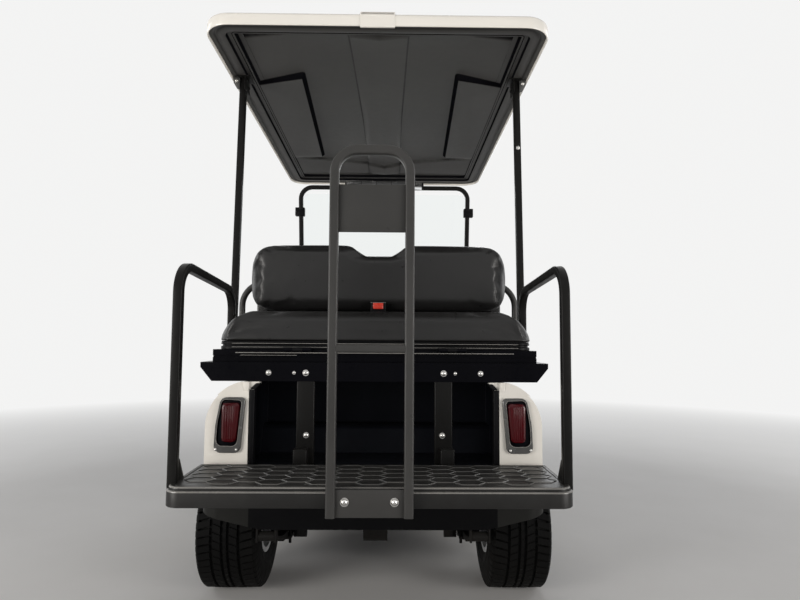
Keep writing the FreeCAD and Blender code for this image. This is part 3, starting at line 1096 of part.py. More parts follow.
half = FRONT_STRUT_HALF
front_strut = strut_place(square_tube("y", [
    (-half, -60, 0), (-half, length, FRONT_STRUT_BEND_R), (half, length, FRONT_STRUT_BEND_R),
    (half, -60, 0)], STRUT, 0.0)).cut(cowl_outer)
front_strut = max(front_strut.Solids, key=lambda s: s.BoundBox.ZMax)
export("front_strut", front_strut)

glass_y = STRUT / 2.0
glass = strut_place(prism("y", [(-half + 8, -60, 0), (half - 8, -60, 0), (half - 8, length - 38, 46),
                                (-half + 8, length - 38, 46)], glass_y, glass_y + GLASS_T))
glass = glass.cut(cowl_outer)
export("windshield", max(glass.Solids, key=lambda s: s.BoundBox.ZMax))

MIRROR_W = 476.0
MIRROR_H = 54.0
MIRROR_DEPTH = 26.0
mirror_front = front(top[0]) - STRUT / 2.0 - 30.0
mirror_rear = mirror_front - MIRROR_DEPTH
mirror = prism("z", [(-MIRROR_W / 2, mirror_front, 4), (-MIRROR_W / 2 + 24, mirror_rear, 20),
                     (MIRROR_W / 2 - 24, mirror_rear, 20), (MIRROR_W / 2, mirror_front, 4)],
               top[1] - MIRROR_H / 2.0, top[1] + MIRROR_H / 2.0)
clamps = [box((s * 120 - 14, s * 120 + 14), (mirror_front - 2, mirror_front + 40),
              (top[1] - 10, top[1] + 10)) for s in (-1, 1)]
export("mirror", fuse([mirror] + clamps).cut(front_strut))

# Report.
for name, solids in NODES:
    print(name, solids)
print(len(NODES), "nodes")
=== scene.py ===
# %% [markdown]
# # A golf cart with a seat that faces the rear
#
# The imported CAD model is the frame: every part stands where it stands on the real cart, in
# metres, with the ground at z 0, the driving direction along +Y and the right side at +X.
# Each cell below dresses one part of it: a surface worked out with numpy, then a finish.

# %% Load the frame
import math

import bmesh
import bpy
import numpy as np
from mathutils import Matrix, Vector


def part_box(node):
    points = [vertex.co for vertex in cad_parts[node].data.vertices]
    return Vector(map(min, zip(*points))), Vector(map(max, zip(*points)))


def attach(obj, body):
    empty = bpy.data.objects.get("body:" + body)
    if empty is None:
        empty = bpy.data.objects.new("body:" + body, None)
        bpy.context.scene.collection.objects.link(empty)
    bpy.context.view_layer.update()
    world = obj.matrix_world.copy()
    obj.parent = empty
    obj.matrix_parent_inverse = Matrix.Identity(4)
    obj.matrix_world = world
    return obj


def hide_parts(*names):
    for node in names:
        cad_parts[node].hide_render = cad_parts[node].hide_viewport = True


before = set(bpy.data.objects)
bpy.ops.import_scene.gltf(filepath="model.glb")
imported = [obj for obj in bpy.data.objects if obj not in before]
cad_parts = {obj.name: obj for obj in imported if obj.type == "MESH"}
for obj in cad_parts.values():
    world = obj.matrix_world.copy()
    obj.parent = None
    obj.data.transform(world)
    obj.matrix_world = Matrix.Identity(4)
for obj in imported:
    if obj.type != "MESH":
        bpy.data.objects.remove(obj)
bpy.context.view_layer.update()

# %% [markdown]
# ## Where things are
#
# Most places come from the frame, by asking for a node's box. A few lines of the cart, such as
# its axles, are worked out once and used by name.

# %% Places read from the frame


def span(node, axis):
    """Lowest and highest place of a CAD node along x (0), y (1) or z (2)."""
    low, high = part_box(node)
    return low[axis], high[axis]


def middle(node, axis):
    """Halfway between a node's two ends along an axis."""
    return sum(span(node, axis)) / 2


def about(centre, half):
    """The (low, high) pair that reaches half to each side of a centre."""
    return centre - half, centre + half


REAR_AXLE = middle("tyre_rear_left", 1)
FRONT_AXLE = middle("tyre_front_left", 1)
AXLE_Z = middle("tyre_rear_left", 2)
DECK_TOP = span("footrest_deck", 2)[1]
BODY_REAR = span("rear_body", 1)[0]
# how thick the square tubes of the hoop, the rails and the struts are
TUBE, RAIL, STRUT = 0.0245, 0.025, 0.025
# points of a CAD mesh that are closer than this are one point
MERGE = 0.00002
CORNERS = ("front_left", "front_right", "rear_left", "rear_right")
print("axles at y", round(REAR_AXLE, 3), round(FRONT_AXLE, 3), "deck top", round(DECK_TOP, 3))

# %% [markdown]
# ## Surfaces from numpy
#
# A surface is a grid of points: ring i, place j on the ring. Neighbouring places make a
# four-sided face. Computing the whole grid as one array is quick, and the same few functions
# then make tubes, plates, turned parts and roofs.

# %% A grid of points becomes faces


def skin(rings, loop=False, caps=(True, True), mat=0):
    """Faces over a grid of closed rings. Face (i, j) joins points (i, j), (i, j+1),
    (i+1, j+1), (i+1, j), and a ring's last point joins its first. A loop joins the last ring to
    the first, and a cap is one face over an end ring. Turned outwards if the volume, which is
    the sum of a . (b x c) / 6 over its triangles, comes out negative."""
    p = np.asarray(rings, float)
    n, m = p.shape[:2]
    index = np.arange(n * m).reshape(n, m)
    ends = []
    if caps[0] and not loop:
        ends.append(index[0, ::-1].tolist())
    if caps[1] and not loop:
        ends.append(index[-1].tolist())
    if loop:
        index = np.vstack([index, index[:1]])
    index = np.hstack([index, index[:, :1]])
    quads = np.stack([index[:-1, :-1], index[:-1, 1:], index[1:, 1:], index[1:, :-1]], -1)
    quads = quads.reshape(-1, 4)
    faces = quads.tolist() + ends
    verts = p.reshape(-1, 3)
    a, b, c, d = (verts[quads[:, k]] for k in range(4))
    volume = (a * np.cross(b, c)).sum() + (a * np.cross(c, d)).sum()
    for face in ends:
        ring = verts[face]
        volume += (ring[0] * np.cross(ring[1:-1], ring[2:])).sum()
    if volume < 0:
        faces = [face[::-1] for face in faces]
    return verts, faces, mat


def place(axis, uv, w):
    """Outline points (u, v) at depth w along an axis, as points in space."""
    u, v = uv[..., 0], uv[..., 1]
    w = np.broadcast_to(w, u.shape)
    return np.stack({"x": (w, u, v), "y": (u, w, v), "z": (u, v, w)}[axis], -1)


def moved(part, shift):
    """The same part, shifted."""
    return part[0] + np.asarray(shift, float), part[1], part[2]


def mirrored(part):
    """The part on the other side of the cart; its faces are turned round, so they stay outwards."""
    return part[0] * [-1, 1, 1], [face[::-1] for face in part[1]], part[2]


def both(parts):
    """Parts and their mirror images."""
    return list(parts) + [mirrored(part) for part in parts]


def added(name, data):
    """A new object at the origin, put into the scene."""
    obj = bpy.data.objects.new(name, data)
    bpy.context.scene.collection.objects.link(obj)
    return obj


def piece(name, parts, body, finishes, replaces=(), smooth=32.0):
    """One Blender object from several parts, riding on a CAD body."""
    verts, faces, mats, start = [], [], [], 0
    for v, f, mat in parts:
        verts.append(v)
        faces += [[k + start for k in face] for face in f]
        mats += [mat] * len(f)
        start += len(v)
    mesh = bpy.data.meshes.new(name)
    mesh.from_pydata(np.vstack(verts), [], faces)
    for made in finishes:
        mesh.materials.append(made)
    mesh.polygons.foreach_set("material_index", mats)
    mesh.polygons.foreach_set("use_smooth", [True] * len(mesh.polygons))
    mesh.set_sharp_from_angle(angle=math.radians(smooth))
    mesh.validate()
    obj = added(name, mesh)
    if replaces:
        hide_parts(*replaces)
    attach(obj, body)
    print(name, len(faces), "faces")


# %% [markdown]
# ## Outlines, plates and bent tubes
#
# Sheet metal and mouldings have rounded corners and rounded edges, and those thin highlights
# are what makes them look real. An outline rounds its corners with arcs; a plate draws it out
# and steps it inwards at both faces; a bent tube carries a small section along a bent line.

# %% Outlines and plates


def outline(corners, radii, t=0.0, steps=6, runs=0):
    """A closed outline through rounded corners, moved inwards by t.
    Each corner c becomes the arc about c + bisector * r / sin(half angle), from the tangent
    point of one side to that of the next, with r smaller by t. Runs adds points between them."""
    c = np.asarray(corners, float)
    radii = np.broadcast_to(np.asarray(radii, float), len(c))
    back, ahead = c - np.roll(c, 1, 0), np.roll(c, -1, 0) - c
    back /= np.linalg.norm(back, axis=1)[:, None]
    ahead /= np.linalg.norm(ahead, axis=1)[:, None]
    area = (c[:, 0] * np.roll(c[:, 1], -1) - np.roll(c[:, 0], -1) * c[:, 1]).sum()
    hand = 1.0 if area > 0 else -1.0
    n1 = np.stack([-back[:, 1], back[:, 0]], -1) * hand
    n2 = np.stack([-ahead[:, 1], ahead[:, 0]], -1) * hand
    centre_side = np.sign((back[:, 0] * ahead[:, 1] - back[:, 1] * ahead[:, 0]) * hand)
    share = (1 + (n1 * n2).sum(1))[:, None]
    c = c + (n1 + n2) * (t / share)
    r = np.maximum(radii - t * centre_side, 0.0002)
    centre = c + (n1 + n2) / share * (r * centre_side)[:, None]
    a0 = np.arctan2(-n1[:, 1] * centre_side, -n1[:, 0] * centre_side)
    a1 = np.arctan2(-n2[:, 1] * centre_side, -n2[:, 0] * centre_side)
    sweep_angle = (a1 - a0 + np.pi) % (2 * np.pi) - np.pi
    s = np.linspace(0, 1, steps)
    angle = a0[:, None] + sweep_angle[:, None] * s
    arcs = centre[:, None] + r[:, None, None] * np.stack([np.cos(angle), np.sin(angle)], -1)
    if runs:
        q = np.linspace(0, 1, runs + 2)[1:-1][None, :, None]
        run = arcs[:, -1:] * (1 - q) + np.roll(arcs[:, :1], -1, 0) * q
        arcs = np.concatenate([arcs, run], 1)
    return arcs.reshape(-1, 2)


def rect(u, v):
    """The four corners of a rectangle from two (low, high) pairs."""
    return [(u[0], v[0]), (u[1], v[0]), (u[1], v[1]), (u[0], v[1])]


def edge_steps(low, high, edge, steps=4):
    """Depth and inset of the rings of a plate with round edges:
    inset = edge (1 - sin a), depth = low + edge (1 - cos a), and the same back at the top."""
    a = np.linspace(0, np.pi / 2, steps)
    inset, rise = edge * (1 - np.sin(a)), edge * (1 - np.cos(a))
    return np.concatenate([low + rise, high - rise[::-1]]), np.concatenate([inset, inset[::-1]])


def plate(axis, corners, radii, low, high, edge=0.0015, steps=6, mat=0):
    """An outline drawn out along an axis from low to high, with round edges."""
    return skin([place(axis, outline(corners, radii, t, steps), w)
                 for w, t in zip(*edge_steps(low, high, edge))], mat=mat)


def block(x, y, z, radius=0.003, edge=0.0015, mat=0):
    """A block from three (low, high) pairs, with its upright edges and its faces rounded."""
    return plate("z", rect(x, y), radius, z[0], z[1], edge, steps=4, mat=mat)


# %% Bent lines and tubes


def bent_line(corners, radius, steps=9):
    """Points and directions along straight runs joined by arcs that touch both runs.
    At a corner the arc turns from one direction to the next about its own centre:
    point = centre - r (n cos a) + r (d sin a), with d the first direction, n towards the centre."""
    c = np.asarray(corners, float)
    points, ways = [c[0]], [(c[1] - c[0]) / np.linalg.norm(c[1] - c[0])]
    for before, here, after in zip(c[:-2], c[1:-1], c[2:]):
        d1 = (here - before) / np.linalg.norm(here - before)
        d2 = (after - here) / np.linalg.norm(after - here)
        full = math.acos(np.clip(d1 @ d2, -1, 1))
        n = d2 - d1 * (d1 @ d2)
        n /= np.linalg.norm(n)
        start = here - d1 * radius * math.tan(full / 2)
        a = np.linspace(0, full, steps)[:, None]
        points += list(start + n * radius * (1 - np.cos(a)) + d1 * radius * np.sin(a))
        ways += list(d1 * np.cos(a) + n * np.sin(a))
    points.append(c[-1])
    ways.append((c[-1] - c[-2]) / np.linalg.norm(c[-1] - c[-2]))
    return np.array(points), np.array(ways)


def sweep(corners, radius, section, up, steps=9):
    """A section (a, b) carried along a bent line: point + a * side + b * up, side = way x up."""
    points, ways = bent_line(corners, radius, steps)
    up = np.asarray(up, float) / np.linalg.norm(up)
    side = np.cross(ways, up)
    side /= np.linalg.norm(side, axis=1)[:, None]
    a, b = section[:, 0][None, :, None], section[:, 1][None, :, None]
    return skin(points[:, None] + a * side[:, None] + b * up)


def square(side, radius=0.005, height=None):
    """The section of a square tube with round corners."""
    return outline(rect(about(0, side / 2), about(0, (height or side) / 2)), radius, steps=5)


def circle(radius, steps):
    """The section of a round bar."""
    a = np.linspace(0, 2 * np.pi, steps, endpoint=False)
    return radius * np.stack([np.cos(a), np.sin(a)], -1)


def lathe(profile, centre, axis, steps, mat=0):
    """A profile of (depth, radius) turned about an axis through a point:
    point = centre + depth * axis + radius * (cos a * side + sin a * up)."""
    axis = np.asarray(axis, float) / np.linalg.norm(axis)
    side = np.cross(axis, [0, 0, 1.0] if abs(axis[2]) < 0.9 else [1.0, 0, 0])
    side /= np.linalg.norm(side)
    up = np.cross(axis, side)
    a = np.linspace(0, 2 * np.pi, steps, endpoint=False)
    around = np.cos(a)[:, None] * side + np.sin(a)[:, None] * up
    depth, radius = np.asarray(profile, float).T[:, :, None, None]
    return skin(np.asarray(centre) + depth * axis + radius * around, mat=mat)


def button_bolt(centre, axis, radius, height, mat=0):
    """A button-head bolt: a low dome with a round socket, on a flat washer."""
    a = np.linspace(0.12, 1, 6)[2:] * np.pi / 2
    dome = [(height * math.cos(q) + 0.0015, radius * math.sin(q)) for q in a]
    washer = [(0.0015, radius * 1.25), (0.0008, radius * 1.32), (-0.002, radius * 1.32)]
    socket = [(0.0025, radius * 0.16), (0.0025, radius * 0.34), (height + 0.0012, radius * 0.38)]
    return lathe(socket + dome + washer, centre, axis, 24, mat)


# %% [markdown]
# ## Finishes
#
# A finish is more than a colour. Each one mixes two close shades with slow noise, lets the
# roughness wander a little, adds a fine grain as a bump, and lays a trace of dust on faces
# that look up. All patterns read Object coordinates, so they stay on the part as it moves.
# Painted pictures would need an unwrapped mesh for each part; noise worked out in space fits any
# shape, and one function with different numbers gives gelcoat, powder coat, vinyl and rubber.

# %% Nodes that the finishes share
DUST = (0.45, 0.43, 0.40, 1)
# how often the slow and the middle noise change, per metre
SLOW, MID = 3.0, 36.0


def wire(tree, kind, inputs, **settings):
    """Adds a node; inputs maps a socket's name or number to a value or to another socket."""
    node = tree.nodes.new("ShaderNode" + kind)
    for key, value in settings.items():
        setattr(node, key, value)
    for key, value in inputs.items():
        if isinstance(value, bpy.types.NodeSocket):
            tree.links.new(value, node.inputs[key])
        else:
            node.inputs[key].default_value = value
    return node


def worked(tree, operation, *values):
    """One sum on values or sockets, such as MULTIPLY."""
    return wire(tree, "Math", dict(enumerate(values)), operation=operation).outputs[0]


def remap(tree, value, start, end, low=0.0, high=1.0):
    """low + (high - low) * (value - start) / (end - start), held between low and high."""
    return wire(tree, "MapRange", {0: value, 1: start, 2: end, 3: low, 4: high}).outputs[0]


def mixed(tree, share, one, other):
    """(1 - share) * one + share * other, for two colours."""
    return wire(tree, "Mix", {0: share, 6: one, 7: other}, data_type="RGBA").outputs[2]


def noise(tree, where, scale, detail):
    """Smooth noise about 0.5 that changes scale times a metre."""
    return wire(tree, "TexNoise", {"Vector": where, "Scale": scale, "Detail": detail}).outputs[0]


def started(name):
    """A new material, its node tree, its shader and its Object coordinates."""
    made = bpy.data.materials.new(name)
    made.use_nodes = True
    tree = made.node_tree
    where = tree.nodes.new("ShaderNodeTexCoord").outputs["Object"]
    return made, tree, tree.nodes["Principled BSDF"], where


def roughened(tree, shader, roughness, height, depth):
    """Gives a shader its roughness, and a bump that is depth metres high."""
    bump = wire(tree, "Bump", {"Strength": 1.0, "Distance": depth, "Height": height})
    tree.links.new(roughness, shader.inputs["Roughness"])
    tree.links.new(bump.outputs[0], shader.inputs["Normal"])


def constant(shader, **values):
    """Sets a shader's own sockets; Coat_Weight stands for its socket Coat Weight."""
    for socket, value in values.items():
        shader.inputs[socket.replace("_", " ")].default_value = value


print("dust", DUST[:3], "slow and middle noise", SLOW, MID)

# %% The node tree of a finish


def finish(name, colour, shade, rough, grain, depth, metal=0.0, coat=0.0, cells=False,
           dust=0.06, wander=0.07, specular=0.5, upright_shade=None, shaded_band=None):
    """Colour = mix(colour, shade, slow noise) lightened by dust where the face looks up.
    Roughness = rough + wander * (noise - 0.5) * 4. Bump = noise, or the walls between cells,
    at grain per metre, depth metres high. The colour for upright faces is painted shade: faces
    that stand upright get it, and lose their gloss too, because they catch less light. The last
    argument gives the half width and colour of painted shade over the middle, about x = 0."""
    made, tree, shader, where = started(name)
    mid = noise(tree, where, MID, 3.0)
    slow = remap(tree, noise(tree, where, SLOW, 4.0), 0.35, 0.65)
    base = mixed(tree, slow, (*colour, 1), (*shade, 1))
    normal = tree.nodes.new("ShaderNodeNewGeometry").outputs["Normal"]
    up = wire(tree, "SeparateXYZ", {0: normal}).outputs[2]
    settled = worked(tree, "MULTIPLY", remap(tree, up, 0.5, 1.0, 0.0, dust), mid)
    base = mixed(tree, settled, base, DUST)
    # painted shade: upright faces get a darker colour and a lower specular level
    if upright_shade:
        upright = remap(tree, worked(tree, "ABSOLUTE", up), 0.80, 0.985, 1.0, 0.0)
        base = mixed(tree, upright, base, (*upright_shade, 1))
        level = worked(tree, "SUBTRACT", 1.0, upright)
        tree.links.new(worked(tree, "MULTIPLY", level, specular),
                       shader.inputs["Specular IOR Level"])
    # painted shade: a darker colour over the middle, about x = 0
    if shaded_band:
        half, inside = shaded_band
        off = worked(tree, "ABSOLUTE", wire(tree, "SeparateXYZ", {0: where}).outputs[0])
        base = mixed(tree, remap(tree, off, half - 0.002, half, 1.0, 0.0), base, (*inside, 1))
    tree.links.new(base, shader.inputs["Base Color"])
    if cells:
        walls = wire(tree, "TexVoronoi", {"Vector": where, "Scale": grain},
                     feature="DISTANCE_TO_EDGE")
        height = remap(tree, walls.outputs[0], 0.0, 0.25)
    else:
        height = noise(tree, where, grain, 2.0)
    roughened(tree, shader, remap(tree, mid, 0.25, 0.75, rough - wander, rough + wander), height,
              depth)
    constant(shader, Metallic=metal, Coat_Weight=coat, Coat_Roughness=0.08,
             Specular_IOR_Level=specular)
    made.diffuse_color = (*colour, 1)
    return made


def clear(name, tint, rough, ior=1.45, ripple=40.0, depth=0.00002):
    """A clear sheet or lens: light passes, with faint ripples in its surface."""
    made, tree, shader, where = started(name)
    waves = noise(tree, where, ripple, 2.0)
    roughened(tree, shader, remap(tree, waves, 0.3, 0.7, rough, rough * 2.5), waves, depth)
    constant(shader, Base_Color=(*tint, 1), Transmission_Weight=1.0, IOR=ior)
    made.diffuse_color = (*tint, 0.3)
    return made


# %% Finishes of the white body and its lining
WHITE = finish("white_gelcoat", (0.78, 0.75, 0.69), (0.75, 0.72, 0.66), 0.24, 220, 0.00002,
               coat=0.35, dust=0.03, wander=0.04)
# the lining's upright faces get painted shade, a darker colour and less gloss, because steps that
# face the rear catch less light from the floor
LINING = finish("charcoal_lining", (0.060, 0.058, 0.055), (0.052, 0.051, 0.049), 0.42, 300,
                0.00001, dust=0.0, specular=0.30, upright_shade=(0.004, 0.004, 0.005), wander=0.02)
GREY_PLASTIC = finish("valance_grey", (0.030, 0.030, 0.029), (0.024, 0.024, 0.024), 0.40, 700,
                      0.0001, specular=0.35)
# the valance's middle, under the opening, gets a much darker colour: painted shade where it lies
# recessed
VALANCE = finish("valance_grey_painted_shade", (0.016, 0.016, 0.015), (0.012, 0.012, 0.0115), 0.40, 700,
                 0.0001, specular=0.07, shaded_band=(0.386, (0.0020, 0.0020, 0.0024)))
BEZEL = finish("lamp_bezel", (0.105, 0.105, 0.102), (0.075, 0.075, 0.073), 0.24, 800, 0.00003,
               metal=0.35)
LENS_RED = finish("lens_red", (0.062, 0.0015, 0.0038), (0.038, 0.0011, 0.0025), 0.12, 60,
                  0.00003, coat=0.15, dust=0.0, wander=0.03, specular=0.20)
LENS_CLEAR = clear("lens_clear", (0.93, 0.95, 0.97), 0.03, ripple=120, depth=0.00008)
GLASS = clear("windscreen_sheet", (0.96, 0.985, 0.98), 0.02, ior=1.12)
print(len(bpy.data.materials), "finishes")

# %% Black paints, plastics and vinyl
TUBING = finish("black_powder_coat", (0.046, 0.045, 0.0435), (0.037, 0.0365, 0.035), 0.34, 1400,
                0.00004, dust=0.08, specular=0.20)
RAILING = finish("rail_black", (0.0085, 0.0082, 0.0078), (0.0065, 0.0063, 0.0060), 0.34, 1400,
                 0.00004, dust=0.05, specular=0.10)
MOULDED = finish("moulded_black", (0.0040, 0.0040, 0.0046), (0.0028, 0.0028, 0.0033), 0.42, 900,
                 0.00010, specular=0.09, dust=0.02)
DECKING = finish("deck_black", (0.0120, 0.0116, 0.0110), (0.0090, 0.0087, 0.0083), 0.40, 800,
                 0.00010, dust=0.07, specular=0.24)
# the ribs round the deck's tiles are much paler than the deck: painted highlight where they catch
# light at a low angle
DECK_RIB_HIGHLIGHT = finish("deck_ribs_painted_highlight", (0.120, 0.116, 0.108), (0.085, 0.082, 0.077), 0.30, 900, 0.00005,
                   dust=0.10)
# pale strips on the deck's lip, the pan's ledges, the seat base's flange, the buckle and the lamp
# recesses: painted highlights
PAINTED_HIGHLIGHT = finish("painted_highlight_edge", (0.22, 0.21, 0.195), (0.15, 0.145, 0.135), 0.26, 900, 0.00003,
              dust=0.1)
BASE_BLACK = finish("seat_base_black", (0.0022, 0.0022, 0.0036), (0.0016, 0.0016, 0.0026), 0.30,
                    500, 0.00003, specular=0.05, dust=0.01)
WELL_BLACK = finish("bagwell_black", (0.0046, 0.0052, 0.0075), (0.0036, 0.0041, 0.0060), 0.45,
                    500, 0.00005, specular=0.05, dust=0.01)
VINYL = finish("black_vinyl", (0.0135, 0.0132, 0.0132), (0.0100, 0.0098, 0.0098), 0.33, 650,
               0.00006, cells=True, dust=0.02, specular=0.32)
CASE = finish("battery_case", (0.020, 0.020, 0.022), (0.015, 0.015, 0.016), 0.50, 400, 0.0001)
GRIP = finish("wheel_grip", (0.014, 0.014, 0.014), (0.010, 0.010, 0.010), 0.50, 700, 0.0002,
              cells=True)
print(len(bpy.data.materials), "finishes")

# %% Rubber, metals, mirror and buckle
RUBBER = finish("tyre_rubber", (0.0030, 0.0030, 0.0030), (0.0050, 0.0048, 0.0045), 0.60, 500,
                0.0002, dust=0.01, specular=0.06)
SILVER = finish("rim_silver", (0.55, 0.56, 0.57), (0.50, 0.51, 0.52), 0.32, 900, 0.00003,
                metal=0.6)
CHASSIS = finish("chassis_paint", (0.006, 0.006, 0.006), (0.011, 0.010, 0.009), 0.50, 300,
                 0.0002, dust=0.03, specular=0.08)
CAST = finish("cast_alloy", (0.20, 0.20, 0.21), (0.14, 0.14, 0.14), 0.50, 350, 0.0003, metal=0.8)
ZINC = finish("zinc_bolt", (0.62, 0.61, 0.59), (0.50, 0.49, 0.47), 0.30, 900, 0.00003, metal=1.0,
              dust=0.0)
GALVANISED = finish("bracket_grey", (0.10, 0.10, 0.098), (0.07, 0.07, 0.068), 0.40, 500, 0.00006,
                    metal=0.4)
MIRROR = finish("mirror_glass", (0.80, 0.81, 0.82), (0.78, 0.79, 0.80), 0.05, 20, 0.00001,
                metal=1.0, dust=0.0, wander=0.02)
RED = finish("buckle_red", (0.75, 0.045, 0.020), (0.66, 0.038, 0.016), 0.30, 900, 0.00003)
print(len(bpy.data.materials), "finishes")

# %% [markdown]
# ## Parts that stay as the CAD made them
#
# Pressed and moulded parts whose CAD shape is right keep their mesh. It is loose triangles, so
# a Weld modifier joins them first, and a narrow Bevel then gives every sharp edge its highlight.
# Building them anew would gain nothing, since only their razor edges look unreal.

# %% Finishes for the nodes that stay
# each row is a finish, how wide the rounded edges are, and the nodes that have both
KEPT = [
    (WHITE, 0.0022, "front_cowl"), (VALANCE, 0.0012, "rear_valance"),
    (GREY_PLASTIC, 0.003, "front_bumper"), (GREY_PLASTIC, 0.002, "rocker_panels"),
    (WELL_BLACK, 0.0012, "bagwell"), (MOULDED, 0.002, "floor front_seat_pan"),
    (MOULDED, 0.0015, "pedals"), (MOULDED, 0.003, "dash"), (MOULDED, 0.0025, "cup_shelf"),
    (BASE_BLACK, 0.0015, "rear_seat_base"), (TUBING, 0.001, "seat_hinge_posts steering_column"),
    (GRIP, 0.001, "steering_wheel"), (CHASSIS, 0.002, "chassis_frame"),
    (CHASSIS, 0.001, "springs dampers front_axle rear_axle knuckle_left knuckle_right tie_rod"),
    (CAST, 0.002, "motor"), (CASE, 0.003, "battery_block"), (GLASS, 0.001, "windshield"),
    (LENS_CLEAR, 0.0008, "headlamps"),
    (SILVER, 0.001, "rim_front_left rim_front_right rim_rear_left rim_rear_right"),
]


def rounded(obj, made, width):
    """One finish over the whole mesh, a narrow bevel on its sharp edges, and even shading."""
    obj.data.materials.clear()
    obj.data.materials.append(made)
    obj.data.polygons.foreach_set("use_smooth", [True] * len(obj.data.polygons))
    mod = obj.modifiers.new("rounded edges", "BEVEL")
    mod.width, mod.segments, mod.limit_method = width, 2, "ANGLE"
    mod.angle_limit = math.radians(35)
    obj.modifiers.new("even shading", "WEIGHTED_NORMAL").keep_sharp = True


for made, width, nodes in KEPT:
    for node in nodes.split():
        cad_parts[node].modifiers.new("weld", "WELD").merge_threshold = MERGE
        rounded(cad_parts[node], made, width)
print(sum(len(nodes.split()) for made, width, nodes in KEPT), "nodes keep their CAD mesh")

# %% [markdown]
# ## Rear body
#
# The white rear body is a copy of its solid, drawn in a little beside the luggage opening, where
# the moulding is narrower than its structure. White corner pieces close its chamfered top edge,
# and a dark trim strip lines each side of the opening. The moulding could be drawn afresh, but
# a copy keeps the shoulders and wheel arches that the solid already has right.

# %% White moulding drawn in at its sides


def merged_copy(node):
    """A copy of a CAD node's mesh, with its loose triangles joined at their points."""
    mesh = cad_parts[node].data.copy()
    work = bmesh.new()
    work.from_mesh(mesh)
    bmesh.ops.remove_doubles(work, verts=work.verts, dist=MERGE)
    work.to_mesh(mesh)
    work.free()
    return mesh


def points_of(mesh):
    """A mesh's points as an array."""
    co = np.zeros(len(mesh.vertices) * 3)
    mesh.vertices.foreach_get("co", co)
    return co.reshape(-1, 3)


def eased(s):
    """0 up to 0, 1 from 1 on, and s * s * (3 - 2 s) between."""
    s = np.clip(s, 0, 1)
    return s * s * (3 - 2 * s)


def drawn_in(x):
    """A place across the cart, moved inwards by 11 mm at the opening and 13 mm at the side."""
    side = np.abs(x)
    shift = 0.011 * eased((side - 0.300) / 0.104) + 0.002 * np.clip((side - 0.404) / 0.136, 0, 1)
    return x - np.sign(x) * shift


moulding = merged_copy("rear_body")
co = points_of(moulding)
co[:, 0] = drawn_in(co[:, 0])
moulding.vertices.foreach_set("co", co.ravel())
moulding.update()
body = added("moulded_body", moulding)
rounded(body, WHITE, 0.0022)
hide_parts("rear_body")
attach(body, "chassis")
print("moulded_body", len(moulding.polygons), "faces")

# %% Corner pieces and trim of the opening


def bar(*edges):
    """A bar from its four long edges; ring i holds point i of each edge's (x, y, z)."""
    return skin(np.stack([np.stack(np.broadcast_arrays(*edge), -1) for edge in edges], 1))


# the opening's edge, the panel's top, and the rounded shoulder's centre and radius
OPENING_X, PANEL_TOP = 0.3935, 0.7395
SHOULDER_X, SHOULDER_Z, SHOULDER_R = 0.400, 0.600, 0.1430
z = np.linspace(0.698, PANEL_TOP, 12)
y = BODY_REAR + np.clip((z - 0.690) * 0.22, 0.0008, None)
shoulder = np.sqrt(np.maximum(SHOULDER_R ** 2 - (z - SHOULDER_Z) ** 2, 1e-6))
outer_x = drawn_in(SHOULDER_X + shoulder)
corner = bar((OPENING_X, y, z), (outer_x, y, z), (outer_x, y + 0.004, z),
             (OPENING_X, y + 0.004, z))
gusset = plate("y", [(0.398, PANEL_TOP), (0.398, 0.700), (0.392, 0.700), (0.358, PANEL_TOP)],
               0.004, BODY_REAR + 0.012, BODY_REAR + 0.040, 0.002)
lid = block((0.3945, 0.4120), (BODY_REAR + 0.0040, BODY_REAR + 0.0200), (0.7120, 0.7400), 0.002,
            0.001)
trim = [block((0.375, OPENING_X), (BODY_REAR + 0.0015, BODY_REAR + 0.030), (0.470, 0.715), mat=1),
        plate("y", [(OPENING_X, 0.716), (0.375, 0.716), (0.356, 0.735), (0.372, 0.735)], 0.003,
              BODY_REAR + 0.006, BODY_REAR + 0.030, 0.001, mat=1)]
piece("quarter_corners", both([corner, gusset, lid] + trim), "chassis", [WHITE, MOULDED])

# %% [markdown]
# ## Roof
#
# The roof is one vacuum-formed shell: a tall white rim with a rolled lower lip, a rounded top
# edge, a rain channel inside it and a faint crown. A box with loop cuts and subdivision would
# round it too, but softly. Rings of its plan, each a little further in, keep every radius exact
# and give all of that from short tables of insets and heights.

# %% The roof's own frame, from the rear rim's lower edge
ROOF_REAR, ROOF_LOW, ROOF_SLOPE = REAR_AXLE - 0.330, 1.900, math.radians(2.2)
ROOF_LENGTH, ROOF_RIM, ROOF_CROWN, ROOF_R = 1.700, 0.044, 0.016, 0.090
CHANNEL_IN, CHANNEL_STEP = 0.070, 0.003
ROOF_HALF = span("roof_shell", 0)[1] + 0.008
ROOF_PLAN = [(-ROOF_HALF, 0), (ROOF_HALF, 0), (ROOF_HALF - 0.012, ROOF_LENGTH),
             (-ROOF_HALF + 0.012, ROOF_LENGTH)]
CROWN_HALF = ROOF_HALF - CHANNEL_IN


def roof_place(points):
    """From the roof's frame to the cart: turned down towards the front, then lifted."""
    x, y, z = np.moveaxis(np.asarray(points, float), -1, 0)
    c, s = math.cos(ROOF_SLOPE), math.sin(ROOF_SLOPE)
    return np.stack([x, ROOF_REAR + y * c + z * s, ROOF_LOW - y * s + z * c], -1)


def roof_ring(t, z):
    """The roof's plan, t further in, at height z."""
    flat = outline(ROOF_PLAN, ROOF_R, t, steps=12, runs=16)
    return np.column_stack([flat, np.broadcast_to(z, len(flat))])


